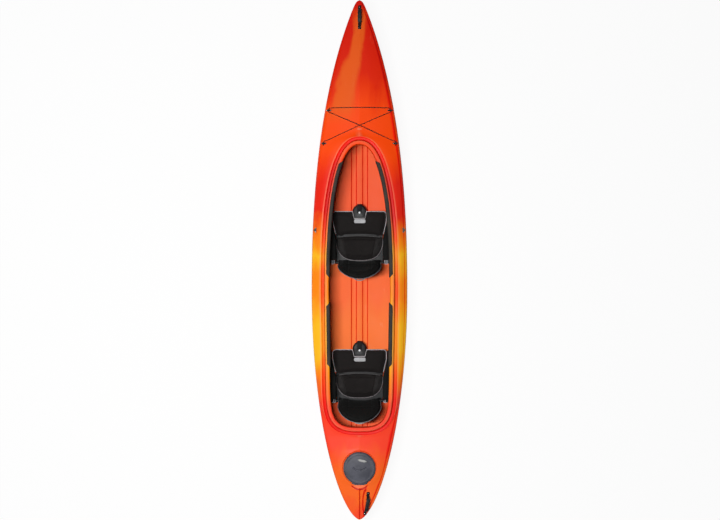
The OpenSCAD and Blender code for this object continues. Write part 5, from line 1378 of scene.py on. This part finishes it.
def leg_piping():
    """The leg rest's edge: one side, the front with its notch, and the other side."""
    turn = np.linspace(0.03, np.pi / 2, 16)
    radius = LEG_CORNER - 0.5
    corner = points_at(LEG_WIDE - LEG_CORNER + radius * np.cos(turn),
                       LEG_LONG - LEG_CORNER + radius * np.sin(turn))
    up = np.linspace(8, 162, 44)
    x = np.concatenate([np.linspace(190, 60, 30), np.linspace(58, 44, 24), np.linspace(42, 0, 12)])
    half = np.concatenate([points_at(leg_half(up) - 0.5, up), corner, points_at(x, leg_front(x) - 0.5)])
    line = np.concatenate([half, (half * [-1, 1])[-2::-1]])
    return points_at(line[:, 0], line[:, 1], 19.0)


def back_piping():
    """Binding round the edge of the backrest's shell, from one hinge over the top to the other: sides, then
    a half ellipse."""
    a = np.linspace(0, np.pi, 160)
    arc = points_at((BACK_HALF + 0.6) * np.cos(a), BACK_TURN + (BACK_RISE + 0.6) * np.sin(a))
    low = np.linspace(24, 104, 14)
    side = points_at(back_outline(low) + 0.6, low)
    x, z = np.concatenate([side, arc, (side * [-1, 1])[::-1]]).T
    return curve_through(points_at(x, back_face(x) - 2.5, z), 280)


def patch(place, half, thickness):
    """A flat tab: a squared ellipse with a rounded rim, as rings from the middle of its top to that of its
    base."""
    r = np.array([0, 0.5, 0.9, 0.97, 1, 1, 0.97, 0.5, 0])
    z = thickness * np.array([1, 1, 1, 0.93, 0.75, 0.2, 0, 0, 0])
    c, s = squared_circle(full_turn(64), 0.4)
    return stacked_rings(r, z, (half[0] * c, half[1] * s), place)


def carry_loop():
    """Webbing that bows out behind the top of the backrest."""
    t = np.linspace(-1, 1, 50)
    x = 52 * t
    return sweep(points_at(x, back_face(x) - 6.5 - 22 * (1 - t**2) ** 0.8, 276), edgewise(band(20, 2.2)))


def rivet():
    """A low dome on the buckle's roller: rings from the middle of the top down to the base."""
    radius = 8.4
    a, t = full_turn(32), np.linspace(0, np.pi / 2, 9)
    r = np.concatenate([radius * np.sin(t), [radius, 0]])
    z = np.concatenate([1 + 3 * np.cos(t), [0, 0]])
    return stacked_rings(r, z, (np.cos(a), np.sin(a)), (0, 388, 105.4))


HIP_SECTION = np.array([[189.5, 178.6], [189.5, 189], [196, 195], [214, 197], [232, 193], [240, 184],
                        [241, 160], [236, 152], [229, 156], [227.6, 178.6]])
HIP_INNER, HIP_OUTER, HIP_REAR = 189.5, 241, 2
# Where each seat's hip pads end in front: past the hip plates the dark fabric fills the gap beside the leg
# rest, partly a real side pad and partly a dark piece put where shade falls
HIP_FRONT = {"front": 318, "rear": 385}
# Where the hip plates' front corners start to fall
HIP_FALL = 122


def hip_pad(side, length):
    """A padded cover over a hip plate: its section is carried forward, kept clear of the leg rest, falls
    with the plate's front corner, and draws in at both ends; the front end is open. Past the plate it is
    partly a dark piece put where shade falls beside the leg rest."""
    ring = rounded_section(HIP_SECTION, 2)
    y = mix(HIP_REAR, length, np.linspace(0, 1, 110))[:, None]
    soft = np.clip(1 - np.minimum(y - HIP_REAR, length - y) / 14, 0, 1) ** 2
    centre = ring.mean(0)
    past_hinge = y - LEG_HINGE[1]
    clear = leg_half(np.clip(past_hinge, 0, None)) + 5.5 - 6 * np.clip(-past_hinge / 40, 0, 1)
    inner = np.maximum(HIP_INNER, clear)
    x = mix(ring[None, :, 0], centre[0], 0.35 * soft)
    x = HIP_OUTER - (HIP_OUTER - x) * (HIP_OUTER - inner) / (HIP_OUTER - HIP_INNER)
    fall = 0.36 * (np.sqrt(np.clip(y - HIP_FALL, 0, None) ** 2 + 36) - 6)
    z = mix(ring[None, :, 1], centre[1], 0.45 * soft) - fall + 1.2 * np.sin(y / 13)
    points = capped(points_at(side * x, y, z))
    return points.reshape(-1, 3), grid_quads(*points.shape[:2], False, True)


STRAP_Y = -12.0


def side_strap(side, rim):
    """Webbing from the hip plate's boss out through its buckle, then up behind the coaming's edge, clear of
    the foot braces."""
    x, z = np.array([[198, 146], [(185 + rim) / 2, 145.2], [rim - 13, 147], [rim + 1, 158], [rim + 6.5, 178],
                     [rim + 8.5, 212], [rim + 9, 250], [rim + 9, 288.0]]).T
    return sweep(curve_through(points_at(side * x, STRAP_Y, z), 70), edgewise(band(25, 1.9)), up=(0, 1, 0))


def ladder_lock(side, middle):
    """A strap buckle: a rounded frame round the webbing, and a middle bar."""
    c, s = squared_circle(full_turn(48), 0.5)
    loop = points_at(side * (middle + 12 * c), STRAP_Y + 17 * s, 146.5)
    bar = points_at(side * middle, STRAP_Y + 16 * np.linspace(-1, 1, 12), 147.5)
    return join(sweep(loop, circle(3, 10, 0.8), loop=True), sweep(bar, circle(2.6, 10)))


def trim(name, shape, finish, body, frame_name, shift):
    """A small part of a seat, taken from its frame on the front seat to its place."""
    points, quads, uv = shape
    axes, origin = FRAMES[frame_name]
    mesh = make_mesh(name, placed(points, axes, np.add(origin, (0, shift, 0))) * MM, quads, uv * MM)
    return piece(mesh, finish, body)


TRIM = (
    ("cushion_piping", sweep(cushion_piping(), circle(2.7, 10)), SEAT_PIPING, "seat_fabric", "cushion"),
    ("cushion_welt", sweep(cushion_welt(), circle(3.0, 10)), WELT, "seat_fabric", "cushion"),
    ("leg_rest_piping", sweep(leg_piping(), circle(2.8, 10)), PIPING, "seat_fabric", "leg"),
    ("leg_rest_tab", patch((2, TAB_Y, TAB_Z + 0.2), TAB_HALF, 2.2), TAB, "webbing", "leg"),
    ("backrest_piping", sweep(back_piping(), circle(3.0, 10), up=(0, 1, 0)), SEAT_PIPING, "seat_fabric",
     "back"),
    ("backrest_loop", carry_loop(), TAB, "webbing", "back"),
    ("strap_rivet", rivet(), RIVET_HIGHLIGHT, "lock_plastic", "cushion"))

for label, shift in SEATS:
    for title, shape, finish, slot, kind in TRIM:
        trim("%s_%s" % (label, title), shape, finish, seat_bodies(label)[kind], kind, shift)
    rim = float(rim_x(np.array(shift + STRAP_Y)))
    for hand, side in HANDS:
        points, quads = hip_pad(side, HIP_FRONT[label])
        mesh = make_mesh("%s_hip_pad_%s" % (label, hand), (points + [0, shift, 0]) * MM, quads)
        pad = piece(mesh, BACK_FABRIC, "kayak")
        for title, shape, finish, slot in (
                ("side_strap", side_strap(side, rim), WEBBING, "webbing"),
                ("ladder_lock", ladder_lock(side, (SEAT_HALF + rim) / 2), LOCK, "lock_plastic")):
            trim("%s_%s_%s" % (label, title, hand), shape, finish, "kayak", "cushion", shift)


# Lifter straps over the tongue ahead of each seat: forward from the tongue's middle, and up from its top

STRAP_LINE = np.array([[-26, 6], [-2, 6], [14, 3.2], [30, 1.7], [45, 0], [55, -5], [58.5, -14], [59, -29.7],
                       [58, -55.65], [54, -74.2]])
TONGUE_Y, TONGUE_Z = 400, 88.9


def lifter_strap(label, shift):
    """Webbing that runs from the buckle over the tongue and down its front."""
    line = curve_through(points_at(0, STRAP_LINE[:, 0] + TONGUE_Y + shift, STRAP_LINE[:, 1] + TONGUE_Z), 70)
    points, quads, uv = sweep(line, edgewise(band(38, 1.8)), up=(1, 0, 0))
    mesh = make_mesh(label + "_lifter_webbing", points * MM, quads, uv * MM)
    piece(mesh, WEBBING, "kayak", (label + "_lifter_strap",))


for label, shift in SEATS:
    lifter_strap(label, shift)
